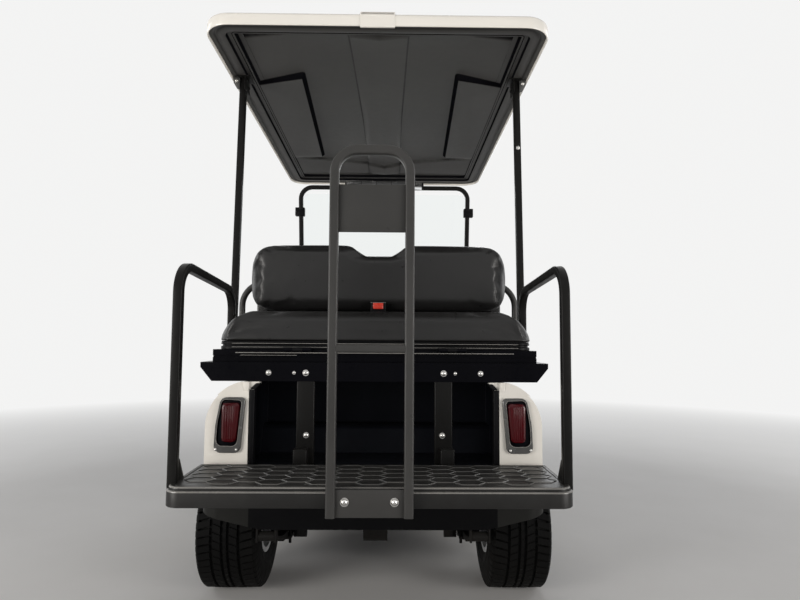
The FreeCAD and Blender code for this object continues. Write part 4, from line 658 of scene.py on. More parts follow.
def crown(x, y):
    """Height of the top over the rim's lower edge: rim + step + crown * (1 - (x / half) ** 2),
    with the crown fading out over the last 13 cm before each end."""
    from_end = np.minimum(y, ROOF_LENGTH - y)
    fade = eased((from_end - CHANNEL_IN) / 0.13)
    return ROOF_RIM + CHANNEL_STEP + ROOF_CROWN * np.maximum(0, 1 - (x / CROWN_HALF) ** 2) * fade


def crowned(t, drop):
    """A ring of the plan that follows the crown, drop below it."""
    ring = roof_ring(t, 0.0)
    ring[:, 2] = crown(ring[:, 0], ring[:, 1]) - drop
    return ring


print("roof", ROOF_LENGTH, "m long,", round(2 * ROOF_HALF, 3), "m wide")

# %% White shell
# the underside and the top are steps of inset and drop below the crown, the rolled lip between
# them is steps of inset and height; the top goes over the rain channel to the middle
EDGE_R = 0.010
under_steps = [(t, 0.004) for t in np.linspace(0.54, 0.08, 10)] + [(0.03, 0.006)]
lip_steps = [(0.006, 0.034), (0.006, 0.004), (0.0055, 0.0015), (0.0035, 0.0), (0.0015, 0.0006),
             (0.0, 0.003), (0.0, 0.024)]
top_steps = [(EDGE_R * (1 - math.cos(a)), CHANNEL_STEP + EDGE_R * (1 - math.sin(a)))
             for a in np.linspace(0, np.pi / 2, 6)]
top_steps += [(0.040, 0.0030), (0.044, 0.0038), (0.048, 0.0068), (0.052, 0.0075), (0.062, 0.0075),
              (0.066, 0.0068), (0.072, 0.0012), (0.078, 0.0)]
top_steps += [(t, 0.0) for t in np.linspace(0.10, 0.54, 16)]
shell_rings = ([crowned(*step) for step in under_steps] + [roof_ring(*step) for step in lip_steps]
               + [crowned(*step) for step in top_steps])
shell = skin([roof_place(ring) for ring in shell_rings])
print("roof shell", len(shell_rings), "rings")

# %% Centre cover on the rear rim, and stiffening ribs along the top
COVER, COVER_TOP = about(0, 0.0575), ROOF_RIM + 0.0030
cover = [plate("y", rect(COVER, (-0.0058, COVER_TOP)), 0.003, -0.0030, 0.004, 0.0012),
         plate("z", rect(COVER, (-0.0030, 0.034)), 0.003, 0.036, COVER_TOP, 0.0020)]
# each rib is a low ridge that follows the crown and sinks into it at both ends
RIB_FOOT, RIB_FLAT, RIB_HIGH = 0.016, 0.0088, 0.0045
y = np.linspace(0.24, ROOF_LENGTH - 0.24, 12)
ends = np.sin(np.pi * np.linspace(0, 1, 12)) ** 0.3
ribs = []
for x in (-0.30, -0.10, 0.10, 0.30):
    low, high = crown(x, y) - 0.003, crown(x, y) + RIB_HIGH * ends
    ribs.append(bar((x - RIB_FOOT, y, low), (x - RIB_FLAT, y, high), (x + RIB_FLAT, y, high),
                    (x + RIB_FOOT, y, low)))
roof_parts = [shell] + [(roof_place(points), faces, mat) for points, faces, mat in cover + ribs]
piece("roof_cover", roof_parts, "chassis", [WHITE], ["roof_shell"])

# %% [markdown]
# ## The lining under the roof
#
# From behind, the ribbed charcoal lining is the largest surface of all. Its border steps up
# twice towards the middle; the field between has a flat spine and two raised pads. The field is
# a grid over x and y, finer where a step comes down, with a height worked out for each point.
# Sculpting could press these steps in as well, but a formula puts each where it is wanted and
# keeps both sides alike.

# %% Border of the lining
LIP = ROOF_HALF - span("rear_struts", 0)[1] + 0.029
BORDER = [(0.0045, 0.039), (0.0045, 0.0115), (0.006, 0.010), (0.022, 0.010), (0.0245, 0.0125),
          (0.0295, 0.0125), (0.032, 0.010)]
BORDER += [(LIP + d, z) for d, z in (
    (-0.0025, 0.010), (-0.0005, 0.011), (0.0005, 0.0135), (0.0015, 0.0180), (0.0035, 0.0198),
    (0.0055, 0.020), (0.0165, 0.020), (0.0175, 0.0225), (0.0195, 0.0225), (0.0205, 0.020),
    (0.0245, 0.020), (0.0270, 0.0208), (0.0285, 0.0235), (0.0305, 0.0305), (0.0325, 0.0332),
    (0.0355, 0.034), (0.050, 0.0345), (0.050, 0.039))]
border = skin([roof_place(roof_ring(t, z)) for t, z in BORDER], loop=True)
print("lining border", len(BORDER), "rings; its lip is", round(LIP, 3), "wide")

# %% Field of the lining


def ramp(d, width):
    """0 before the step and 1 after it, eased across its width: s = d / width + 1/2."""
    return eased(d / width + 0.5)


def finer(low, high, marks, coarse=0.03, fine=0.003, reach=0.012):
    """Places from low to high, coarse apart and finer beside each mark."""
    near = [np.arange(m - reach, m + reach + fine / 2, fine) for m in marks]
    every = np.concatenate([np.linspace(low, high, round((high - low) / coarse))] + near)
    every = np.unique(np.round(every, 5))
    return every[(every >= low) & (every <= high)]


SPINE, PAD_IN, PAD_REAR, PAD_FRONT = 0.090, 0.305, 0.400, 1.300
# a pad's rear edge runs forwards by SLANT over the width SLANT_RUN, and its inner side runs
# outwards by SPLAY per metre
SLANT, SLANT_RUN, SPLAY = 0.055, 0.19, 0.030
FIELD_HALF, FIELD_RISE = ROOF_HALF - LIP - 0.031, 0.020
marks = [SPINE + 0.01, PAD_IN, PAD_IN + 0.020]
xs = finer(-FIELD_HALF, FIELD_HALF, [-m for m in marks] + [0.0] + marks)
marks = [0.09, 0.11, 0.13] + [PAD_REAR + d for d in (0, 0.02, 0.04, 0.06)]
marks += [PAD_FRONT, 1.34, 1.38, 1.42, 1.46]
ys = finer(0.080, ROOF_LENGTH - 0.080, marks)
gx, gy = np.meshgrid(xs, ys, indexing="ij")
# rows and columns bend with the slanted sides of the pads, so that no step cuts across them
near_rear = np.interp(gy, [0.15, PAD_REAR - 0.03, PAD_REAR + 0.03, 0.95], [0, 1, 1, 0])
gy = gy + SLANT * (np.abs(gx) - PAD_IN).clip(0) / SLANT_RUN * near_rear
near_inner = np.interp(np.abs(gx), [SPINE + 0.03, PAD_IN - 0.03, PAD_IN + 0.05, FIELD_HALF],
                       [0, 1, 1, 0])
gx = gx + np.sign(gx) * SPLAY * (gy - PAD_REAR).clip(0) * near_inner
print("lining field", gx.shape, "places")

# %% Heights of the lining's field
# a spine with a blunt ridge; pads whose rear edges run forwards on their way out; a front fold;
# and a rear shelf whose step runs forwards from the centre to the corners
off = np.abs(gx)
out = off / FIELD_HALF
spine_half = SPINE + 0.018 * (1 - gy / 0.9).clip(0)
spine = (1 - ramp(off - spine_half, 0.012)) * (0.006 + 0.009 * (1 - off / SPINE).clip(0))
slant = PAD_REAR + SLANT * (off - PAD_IN).clip(0) / SLANT_RUN
pad_depth = 0.022 * (1 - 0.45 * ((off - PAD_IN) / SLANT_RUN).clip(0, 1))
pad_inner = PAD_IN + SPLAY * (gy - PAD_REAR).clip(0)
on_pad = (ramp(off - pad_inner, 0.016) * ramp(gy - slant, 0.022)
          * (1 - ramp(gy - PAD_FRONT, 0.05)))
inside = ramp(gy - 0.115, 0.05) * (1 - ramp(gy - ROOF_LENGTH + 0.115, 0.05))
arch = FIELD_RISE * (1 - out ** 2) * (1 - ((gy - ROOF_LENGTH / 2) / 0.77) ** 8).clip(0)
shelf_y = 0.080 + 0.055 * out ** 1.3
shelf = 0.016 * out ** 1.1 * (1 - ramp(gy - shelf_y, 0.016))
fold = 0.010 * ramp(gy - (1.46 - 0.16 * out), 0.030)
gz = 0.034 + arch + shelf * 0.6 - (spine + pad_depth * on_pad) * inside - fold * inside
low_side = np.stack([gx, gy, gz], -1)
high_side = (low_side + [0, 0, 0.003])[:, ::-1]
field = skin(roof_place(np.concatenate([low_side, high_side], 1)))
piece("roof_lining", [border, field], "chassis", [LINING], ["roof_liner"], smooth=60)

# %% [markdown]
# ## Struts, hoop and rails
#
# The black steelwork is square tube with round corners, bent to shape, apart from the round hip
# restraints. Each is one small section carried along its bent line, so that the bends stay true
# circles. A curve with a bevel would do nearly as well, but its section turns where the line
# turns twice, and here its flat sides have to face the rear.

# %% Grab hoop with its plate and crossbar
HOOP_Y = span("grab_hoop", 1)[0] + TUBE / 2
HOOP_X = span("grab_hoop", 0)[1] - TUBE / 2
HOOP_LOW, HOOP_HIGH = span("grab_hoop", 2)
HOOP_TOP, CROSSBAR_Z = HOOP_HIGH - TUBE / 2, 0.850
inner = HOOP_X - TUBE / 2 + 0.002
hoop_parts = [
    sweep([(-HOOP_X, HOOP_Y, HOOP_LOW), (-HOOP_X, HOOP_Y, HOOP_TOP), (HOOP_X, HOOP_Y, HOOP_TOP),
           (HOOP_X, HOOP_Y, HOOP_LOW)], 0.062, square(TUBE), (0, 1, 0), steps=13),
    block(about(0, inner), about(HOOP_Y, 0.002), (1.156, 1.284), 0.001, 0.001),
    sweep([(-inner, HOOP_Y, CROSSBAR_Z), (inner, HOOP_Y, CROSSBAR_Z)], 0.01,
          square(0.021, height=TUBE), (0, 1, 0)),
    block(about(0, inner), (HOOP_Y - 0.004, HOOP_Y + TUBE / 2), (HOOP_LOW, DECK_TOP), 0.001, 0.001),
]
hoop_bolts = [button_bolt((x, HOOP_Y - 0.004, 0.459), (0, -1, 0), 0.0088, 0.006, mat=1)
              for x in about(0, 0.064)]
piece("hoop", hoop_parts + hoop_bolts, "chassis", [TUBING, ZINC], ["grab_hoop"])

# %% Side rails with their gussets and feet
DECK_HALF = span("footrest_deck", 0)[1] + 0.012
RAIL_X = DECK_HALF - RAIL / 2 + 0.006
RAIL_FACE = RAIL_X - RAIL / 2
RAIL_TOP = span("side_rails", 2)[1] - RAIL / 2
RAIL_REAR, RAIL_FRONT = REAR_AXLE - 0.570, REAR_AXLE - 0.048
# the upper run falls by this much on its way to the front
RAIL_FALL = 0.034
fin_y = RAIL_REAR + RAIL / 2
rail_parts = [
    sweep([(RAIL_X, RAIL_REAR, DECK_TOP - 0.016), (RAIL_X, RAIL_REAR, RAIL_TOP),
           (RAIL_X, RAIL_FRONT, RAIL_TOP - RAIL_FALL), (RAIL_X, RAIL_FRONT, 0.800)], 0.075,
          square(RAIL, 0.004), (1, 0, 0), steps=13),
    plate("x", [(fin_y - 0.001, DECK_TOP), (fin_y + 0.038, DECK_TOP),
                (fin_y - 0.001, DECK_TOP + 0.064)], 0.002, RAIL_FACE, RAIL_FACE + 0.005, 0.0006),
    button_bolt((DECK_HALF - 0.001, RAIL_REAR, DECK_TOP - 0.024), (1, 0, 0), 0.008, 0.004, mat=1),
    button_bolt((RAIL_FACE, RAIL_FRONT, 0.822), (-1, 0, 0), 0.008, 0.004, mat=1),
]
piece("rails", both(rail_parts), "chassis", [RAILING, ZINC], ["side_rails"])

# %% Rear struts with their head plates
STRUT_X = span("rear_struts", 0)[1] - STRUT / 2
STRUT_FOOT, STRUT_TOP = 0.800, span("rear_struts", 2)[1]
LEAN = 0.066 / 1.2
head_y = REAR_AXLE + LEAN * (STRUT_TOP - STRUT_FOOT)
plate_y, plate_x = about(head_y, 0.037), STRUT_X - STRUT / 2 - 0.003
lug = (STRUT_X + 0.010, STRUT_X + 0.034)
strut_parts = [
    sweep([(STRUT_X, REAR_AXLE, STRUT_FOOT), (STRUT_X, head_y, STRUT_TOP - 0.003)], 0.01,
          square(STRUT, 0.004), (1, 0, 0)),
    plate("x", rect(plate_y, (1.842, STRUT_TOP)), 0.006, plate_x, STRUT_X - STRUT / 2, 0.0006),
    block((STRUT_X - 0.034, STRUT_X + 0.016), plate_y, (STRUT_TOP - 0.004, STRUT_TOP),
          edge=0.0006),
    plate("y", [(lug[0], 1.848), (STRUT_X + 0.020, 1.848), (lug[1], 1.872),
                (lug[1], STRUT_TOP + 0.004), (lug[0], STRUT_TOP + 0.004)], 0.003,
          head_y - 0.020, head_y - 0.017, 0.0006, mat=2),
    button_bolt((STRUT_X + 0.022, head_y - 0.020, 1.880), (0, -1, 0), 0.006, 0.004, mat=1),
    button_bolt((plate_x, head_y + 0.020, 1.866), (-1, 0, 0), 0.006, 0.004),
]
# a bolt that the right-hand strut alone has
strut_bolt = button_bolt((STRUT_X, REAR_AXLE + LEAN * 0.82 - STRUT / 2, 1.620), (0, -1, 0),
                         0.006, 0.004, mat=1)
piece("struts_rear", both(strut_parts) + [strut_bolt], "chassis", [RAILING, ZINC, GALVANISED],
      ["rear_struts"])

# %% Front strut with its clips
FOOT_Y, FOOT_Z = FRONT_AXLE - 0.244, 0.850
HEAD_Y, HEAD_Z = FRONT_AXLE - 0.414, 1.785
HALF = 0.500
way = np.array([0, HEAD_Y - FOOT_Y, HEAD_Z - FOOT_Z])
way /= math.hypot(HEAD_Y - FOOT_Y, HEAD_Z - FOOT_Z)
foot = np.array([0, FOOT_Y, FOOT_Z]) - 0.02 * way
head = np.array([0, HEAD_Y, HEAD_Z])
side = np.array([HALF, 0, 0])
strut = sweep([foot - side, head - side, head + side, foot + side], 0.070, square(STRUT, 0.004),
              np.cross(way, [1.0, 0, 0]))
clips = []
for share in (0.30, 0.86):
    x, y, z = np.array([HALF, FOOT_Y, FOOT_Z]) + way * share * (HEAD_Z - FOOT_Z)
    clips.append(block((x - 0.022, x + 0.034), (y - 0.015, y + 0.020), about(z, 0.025), 0.004,
                       0.003, mat=1))
    clips.append(button_bolt((x + 0.022, y - 0.015, z), (0, -1, 0), 0.005, 0.003, mat=1))
piece("strut_front", [strut] + both(clips), "chassis", [RAILING, MOULDED],
      ["front_strut"])

# %% Backrest frame: two uprights, a cross tube and the round hip restraints
FRAME_Y = middle("backrest_frame", 1)
ARM_X, ARM_Z, ARM_LOW, UPRIGHT_X = 0.544, 1.098, 0.800, 0.300
runs = [[(-0.455, FRAME_Y, ARM_Z), (0.455, FRAME_Y, ARM_Z)]]
runs += [[(x, FRAME_Y, 0.840), (x, FRAME_Y, ARM_Z)] for x in about(0, UPRIGHT_X)]
frame_parts = [sweep(run, 0.01, square(STRUT, 0.004), (0, 1, 0)) for run in runs]
frame_parts += [sweep([(s * 0.450, FRAME_Y, ARM_Z), (s * ARM_X, FRAME_Y, ARM_Z),
                       (s * ARM_X, FRAME_Y, ARM_LOW)], 0.090, circle(0.012, 24), (0, 1, 0),
                      steps=17) for s in (-1, 1)]
piece("hip_restraints", frame_parts, "chassis", [TUBING], ["backrest_frame"])

# %% Supports behind the bagwell opening and under the deck
BAR_X, BAR_REAR, FOOT_X = 0.219, REAR_AXLE - 0.303, middle("deck_supports", 0) + 0.229
UNDER_DECK, UNDER_BODY = 0.451, 0.375
foot_x, bar_y = about(FOOT_X, 0.0215), (BAR_REAR, BAR_REAR + 0.022)
support_parts = [
    block(about(BAR_X, 0.0285), bar_y, (0.473, 0.740), 0.004),
    block(foot_x, (REAR_AXLE - 0.338, BAR_REAR + 0.001), (UNDER_DECK, 0.533)),
    block(foot_x, (REAR_AXLE - 0.619, REAR_AXLE - 0.336), (UNDER_DECK, 0.485)),
    block(foot_x, bar_y, (UNDER_BODY, 0.483)),
    block((0.170, foot_x[1]), (BAR_REAR, BAR_REAR + 0.052), (UNDER_BODY, 0.381), 0.002),
    button_bolt((BAR_X - 0.004, BAR_REAR, 0.572), (0, -1, 0), 0.0072, 0.0045, mat=1),
]
piece("supports", both(support_parts), "chassis", [RAILING, ZINC],
      ["deck_supports"])

# %% [markdown]
# ## The footrest deck
#
# The deck is a tray of black plastic with a rolled edge. Its top is cut into six-sided tiles
# with a low rib round each, which give grip and throw the net of fine lines seen at a low angle.
# One tile is a hexagon drawn at several sizes and heights, and an array of centres repeats it.
# A bump in the finish would be cheaper, but it would vanish at this low angle.

# %% Deck with its lip
DECK_REAR, DECK_FRONT = span("footrest_deck", 1)
DECK_REAR -= 0.006
DECK_LOW = span("footrest_deck", 2)[0]
DECK = [(-DECK_HALF, DECK_FRONT + 0.002), (-DECK_HALF, DECK_REAR), (DECK_HALF, DECK_REAR),
        (DECK_HALF, DECK_FRONT + 0.002)]
DECK_R = [0.003, 0.042, 0.042, 0.003]
# inset and height of each ring, from inside the wall over the double lip to the field
DECK_LIP = [(0.005, DECK_TOP - 0.006), (0.005, DECK_LOW + 0.001), (0.004, DECK_LOW),
            (0.001, DECK_LOW), (0.0, DECK_LOW + 0.001)]
DECK_LIP += [(t, DECK_TOP - drop) for t, drop in (
    (0.0, 0.014), (0.0006, 0.0120), (0.0030, 0.0105), (0.0050, 0.0100), (0.0062, 0.0085),
    (0.0066, 0.0040), (0.0078, 0.0012), (0.0105, 0), (0.0165, 0), (0.0180, 0.0006),
    (0.0190, 0.0022), (0.0215, 0.0022), (0.0230, 0.0008), (0.030, 0.0008))]
# which of those rings run along the lip's edges, and how far the paler strips of painted highlight
# stand over them
HIGHLIT_RINGS, PROUD = ((5, 9), (10, 13)), 0.0003


def deck_ring(t, z):
    """The deck's outline, t further in, at height z."""
    return place("z", outline(DECK, DECK_R, t, steps=10, runs=3), z)


deck = skin([deck_ring(*step) for step in DECK_LIP])
highlight_strips = [skin([deck_ring(t - PROUD, z + PROUD) for t, z in DECK_LIP[a:b]], caps=(False, False),
               mat=2) for a, b in HIGHLIT_RINGS]
print("deck lip", len(DECK_LIP), "rings")

# %% Six-sided tiles
PITCH_X, PITCH_Y = 0.0665, 0.052
cols, rows = np.meshgrid(np.arange(-8, 9), np.arange(0, 6))
cx = cols * PITCH_X
cy = DECK_REAR + 0.062 + (rows + 0.5 * (cols % 2)) * PITCH_Y
keep = (np.abs(cx) < DECK_HALF - 0.070) & (cy < DECK_FRONT - 0.030)
wide, high = PITCH_X * 2 / 3, PITCH_Y / 2
hexagon = np.array([(wide, 0), (wide / 2, high), (-wide / 2, high), (-wide, 0),
                    (-wide / 2, -high), (wide / 2, -high)])
# share of the hexagon's size and height: the rib round a tile, whose paler colour is painted
# highlight, and the tile itself
RIB = [(1.0, -0.0010), (0.996, 0.0010), (0.990, 0.0014), (0.966, 0.0014), (0.955, 0.0008)]
WELL = [(0.955, 0.0008), (0.925, -0.0003), (0.86, -0.0006)]
tiles = []
for centre in np.stack([cx[keep], cy[keep]], -1):
    for steps, cap, mat in ((RIB, False, 1), (WELL, True, 0)):
        tiles.append(skin([place("z", centre + hexagon * s, DECK_TOP + z) for s, z in steps],
                          caps=(False, cap), mat=mat))
piece("deck", [deck] + highlight_strips + tiles, "chassis", [DECKING, DECK_RIB_HIGHLIGHT, PAINTED_HIGHLIGHT],
      ["footrest_deck"])

# %% [markdown]
# ## Seat pans
#
# Under each cushion is a moulded pan. The rear one shows as a stack of thin ledges with shadow
# gaps between them, so its rings step in and out up its side. Thin boards could be stacked
# instead, but one stepped skin is closed. The seat base below it has its own bolts, and pale
# strips of painted highlight along its top flange.

# %% Rear pan and its hinge straps
PAN_LOW, PAN_HALF = 0.8403, span("rear_seat_pan", 0)[1]
PAN_REAR, PAN_FRONT = span("rear_cushion", 1)[0] - 0.008, span("rear_seat_pan", 1)[1]
PAN = rect(about(0, PAN_HALF), (PAN_REAR, PAN_FRONT))
# inset and height of each ring up the side
LEDGES = [(0.006, 0.0), (0.001, 0.0002), (0.0, 0.0015), (0.0, 0.0085), (0.0015, 0.0100),
          (0.0045, 0.0108), (0.0055, 0.0120), (0.0055, 0.0150), (0.0045, 0.0162), (0.0015, 0.0168),
          (0.0, 0.0182), (0.0, 0.0205), (0.0012, 0.0216), (0.0030, 0.0220), (0.0030, 0.0235),
          (0.0015, 0.0240), (0.0008, 0.0252), (0.0012, 0.0266), (0.004, 0.0277)]
pan = skin([place("z", outline(PAN, 0.045, t, steps=10, runs=4), PAN_LOW + z) for t, z in LEDGES])
HINGE_Y = REAR_AXLE - 0.285
BARREL = [(-0.015, 0.0046), (-0.015, 0.0075), (-0.0145, 0.008), (0.0145, 0.008), (0.015, 0.0075),
          (0.015, 0.0046)]
straps = []
for x in about(0, 0.250):
    straps.append(lathe(BARREL, (x, HINGE_Y, 0.840), (1, 0, 0), 24))
    straps.append(block(about(x, 0.0140), (HINGE_Y + 0.002, PAN_REAR + 0.004), (0.8415, 0.846),
                        0.001, 0.0008))
# two thin pale lines where light catches the ledges
glints = [block(about(0, PAN_HALF - 0.046), (PAN_REAR - 0.0004, PAN_REAR + 0.004),
                (PAN_LOW + z, PAN_LOW + z + 0.0017), 0.0006, 0.0003, mat=1)
          for z in (0.0066, 0.0188)]
piece("rear_pan", [pan] + straps + glints, "rear_seat", [MOULDED, PAINTED_HIGHLIGHT],
      ["rear_seat_pan"])

# %% Bolts of the seat base, and pale strips of painted highlight along its top flange
APRON_REAR = span("rear_seat_base", 1)[0]
apron_bolts = [button_bolt((s * x, APRON_REAR, 0.767), (0, -1, 0), r, r * 0.55)
               for s in (-1, 1) for x, r in ((0.338, 0.0068), (0.220, 0.0078), (0.257, 0.0042))]
strip_y = APRON_REAR + 0.002
# thin pale strips along the flange: painted highlight
flange_highlights = [block((-0.446, 0.446), (strip_y, APRON_REAR + 0.030), (0.8290, 0.8315), 0.001,
                    0.0006, mat=1),
              block((-0.430, -0.250), (strip_y, APRON_REAR + 0.010), (0.8215, 0.8230), 0.001,
                    0.0004, mat=1)]
piece("apron_bolts", apron_bolts + flange_highlights, "chassis", [ZINC, PAINTED_HIGHLIGHT])

# %% [markdown]
# ## Cushions and backrests
#
# Padded vinyl is pulled tight over foam, so it swells between its edges. The CAD solid gives the
# outline; a copy is remeshed evenly, cloth is blown up a little from inside, and the swelling is
# capped so that the pad stays in its space. What rests on a pan or a board is held flat.
# Subdivision alone would round a pad evenly; cloth pulls its sides in between its corners.

# %% Cloth blown up from inside


def swelled(obj, held, rest, cap):
    """Where the points go when cloth is blown up: rest + push * min(1, cap / length of push).
    Points that are held stay. Cloth's last frame is read, and no Cloth is left on the piece."""
    group = obj.vertex_groups.new(name="held")
    group.add(np.flatnonzero(held).tolist(), 1.0, "REPLACE")
    cloth = obj.modifiers.new("blow up", "CLOTH")
    cloth.settings.use_pressure = True
    cloth.settings.uniform_pressure_force = 4.0
    cloth.settings.effector_weights.gravity = 0.0
    cloth.settings.vertex_group_mass = "held"
    cloth.settings.quality = 5
    scene = bpy.context.scene
    for step in range(1, 21):
        scene.frame_set(step)
    swollen = obj.evaluated_get(bpy.context.evaluated_depsgraph_get()).data
    push = points_of(swollen) - rest
    length = np.linalg.norm(push, axis=1)[:, None]
    obj.modifiers.clear()
    scene.frame_set(1)
    print(obj.name, "swelled by up to", round(float(length.max()) * 1000, 1), "mm")
    return rest + push * np.minimum(1, cap / np.maximum(length, 1e-9))


# %% A padded piece from its CAD solid
FILL, SHRINK = 0.8, 0.004


def cushion(name, node, body, voxel, cap, held_at, low_wide=0.0, high_wide=0.0):
    """Copy of the solid, merged, evened by voxels, drawn in by SHRINK and blown up: a point may
    move by cap, and points for which held_at(co) is true stay where they are. Last it is made
    wider by the shares low_wide at its foot and high_wide at its top."""
    obj = added(name, merged_copy(node))
    even = obj.modifiers.new("even", "REMESH")
    even.mode, even.voxel_size, even.use_smooth_shade = "VOXEL", voxel, True
    relax = obj.modifiers.new("relax", "SMOOTH")
    relax.iterations, relax.factor = 4, 0.5
    depsgraph = bpy.context.evaluated_depsgraph_get()
    base = bpy.data.meshes.new_from_object(obj.evaluated_get(depsgraph))
    obj.modifiers.clear()
    obj.data = base
    co = points_of(base)
    low, size = co.min(0), co.max(0) - co.min(0)
    centre = (low + co.max(0)) / 2
    held = held_at(co)
    shape = np.where(held[:, None], co, centre + (co - centre) * (1 - 2 * SHRINK / size))
    base.vertices.foreach_set("co", shape.ravel())
    shape = swelled(obj, held, shape, cap)
    up = (shape[:, 2] - low[2]) / size[2]
    shape[:, 0] *= 1 + low_wide * (1 - up) + high_wide * up
    base.vertices.foreach_set("co", shape.ravel())
    base.materials.clear()
    base.materials.append(VINYL)
    base.polygons.foreach_set("use_smooth", [True] * len(base.polygons))
    finer_mesh = obj.modifiers.new("finer", "SUBSURF")
    finer_mesh.levels = finer_mesh.render_levels = 1
    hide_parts(node)
    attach(obj, body)
    print(name, len(base.polygons), "faces before the last subdivision")


# %% The four pads
rear_low = span("rear_cushion", 2)[0] + 0.006
front_low = span("front_cushion", 2)[0] + 0.006
rear_board = span("rear_backrest", 1)[1] - 0.006
front_board = span("front_backrest", 1)[0] + 0.006
cushion("cushion_rear", "rear_cushion", "rear_seat", 0.010, 0.008,
        lambda co: co[:, 2] < rear_low, low_wide=0.030, high_wide=-0.020)
cushion("cushion_front", "front_cushion", "front_seat", 0.011, 0.008,
        lambda co: co[:, 2] < front_low)
cushion("back_rear", "rear_backrest", "chassis", 0.010, 0.007,
        lambda co: co[:, 1] > rear_board, low_wide=0.012, high_wide=0.012)
cushion("back_front", "front_backrest", "chassis", 0.010, 0.007,
        lambda co: co[:, 1] < front_board)

# %% [markdown]
# ## Belt buckle
#
# A small black casing with a red press button peeps out between the cushion and the backrest. A
# short strap of webbing runs down from it behind the cushion. Four rounded blocks are enough,
# because only this much of the belt shows.

# %% Buckle casing, a pale strip of painted highlight along its lip, button and webbing
BX, BY, BZ = middle("belt_buckle", 0), span("belt_buckle", 1)[0], 1.006
buckle_parts = [
    block(about(BX, 0.0300), (BY, BY + 0.011), (BZ - 0.030, BZ + 0.0125), 0.005, 0.003, mat=1),
    # a pale strip along the casing's top edge: painted highlight
    block(about(BX, 0.0290), (BY - 0.0006, BY + 0.002), (BZ + 0.0085, BZ + 0.0105), 0.001, 0.0005,
          mat=2),
    block(about(BX, 0.0195), (BY - 0.0040, BY + 0.006), (BZ - 0.0150, BZ + 0.0080)),
    block(about(BX, 0.012), (BY + 0.005, BY + 0.007), (0.870, BZ - 0.020), 0.001, 0.0004, mat=1),
]
piece("buckle", buckle_parts, "chassis", [RED, MOULDED, PAINTED_HIGHLIGHT], ["belt_buckle"])

# %% [markdown]
# ## Tail lamps
#
# Each lamp is a grey bezel round a dark recess, with a ribbed deep red lens standing in it. Both
# narrow towards their top, so their outlines are five corners with a radius each. Cutting the
# recess out of a block with a Boolean would leave rough edges; here the rings run up the
# outside and down into the recess in one skin. A lamp is built about its own middle, then moved
# to its place and mirrored.

# %% Bezel and recess
LAMP_X, LAMP_Z = 0.4505, middle("tail_lamp_bezels", 2)
FACE = span("tail_lamp_bezels", 1)[1]
# corners from the inner lower one round, and their radii
RIM = ([(-0.036, -0.086), (0.047, -0.086), (0.043, 0.000), (0.0275, 0.085), (-0.050, 0.085)],
       [0.020, 0.022, 0.200, 0.022, 0.014])
RECESS = ([(-0.026, -0.065), (0.039, -0.064), (0.0365, 0.000), (0.0225, 0.079), (-0.039, 0.076)],
          [0.018, 0.018, 0.200, 0.016, 0.010])
# each ring's outline, inset and height over the face: up the outside, in, and down the recess
BEZEL_STEPS = [(RIM, 0.0, 0.0), (RIM, 0.0, 0.006), (RIM, 0.0008, 0.0086), (RIM, 0.0026, 0.0100),
               (RECESS, -0.0016, 0.0100), (RECESS, -0.0004, 0.0092), (RECESS, 0.0, 0.0070),
               (RECESS, 0.0, 0.0)]
GLINT_STEPS = [(RECESS, -0.0014, 0.0098), (RECESS, -0.0006, 0.0104), (RECESS, 0.0004, 0.0098)]


def lamp_ring(shape, t, d, steps=9, runs=1):
    """A lamp's outline, t further in, d out from the face."""
    return place("y", outline(*shape, t, steps=steps, runs=runs), FACE - d)


def lamp_side(parts):
    """Parts moved to the right-hand lamp, and their mirror images on the left."""
    return both([moved(part, (LAMP_X, 0, LAMP_Z)) for part in parts])


bezel = skin([lamp_ring(*step) for step in BEZEL_STEPS])
glint = skin([lamp_ring(*step) for step in GLINT_STEPS], caps=(False, False), mat=3)
recess = plate("y", *RIM, FACE - 0.004, FACE - 0.001, 0.0005, mat=2)
screws = [button_bolt((x, FACE - 0.0096, z), (0, -1, 0), 0.0034, 0.0020, mat=1)
          for x, z in ((-0.0255, -0.0755), (0.0385, -0.0745))]
piece("lamp_bezels", lamp_side([bezel, glint, recess] + screws), "chassis",
      [BEZEL, ZINC, BASE_BLACK, PAINTED_HIGHLIGHT], ["tail_lamp_bezels"])

# %% Lens with its flutes
LENS = ([(-0.0235, -0.052), (0.0215, -0.052), (0.0225, 0.056), (0.0160, 0.068), (-0.0335, 0.069)],
        [0.014, 0.014, 0.020, 0.008, 0.010])
LENS_STEPS = [(0.0, 0.002), (0.0, 0.0105), (0.0012, 0.0140), (0.0045, 0.0160), (0.0100, 0.0166)]
lens = skin([lamp_ring(LENS, t, d, 8, 0) for t, d in LENS_STEPS])
flutes = [plate("y", rect(about(x, 0.0022), (-0.044, 0.060)), 0.002, FACE - 0.0174,
                FACE - 0.015, 0.0011, steps=4) for x in np.linspace(-0.014, 0.014, 5)]
flutes += [plate("y", rect((-0.018, 0.018), about(h, 0.001)), 0.001, FACE - 0.0172,
                 FACE - 0.015, 0.0006, steps=3) for h in (-0.046, 0.062)]
piece("lamp_lenses", lamp_side([lens] + flutes), "chassis", [LENS_RED],
      ["tail_lamp_lenses"])

# %% [markdown]
# ## Tyres
#
# A tyre is a profile turned round its axle. The tread is the same grid with some of its points
# pushed in: ring grooves at fixed places across it, and slanted cuts whose place round the tyre
# shifts from rib to rib. Grid lines run along every groove, so that their walls stay crisp. A
# bump could paint the tread, but the grooves show against the pale floor at the tyre's edge.

# %% Across the tread and down the side
TYRE_R, PITCHES = 0.229, 54
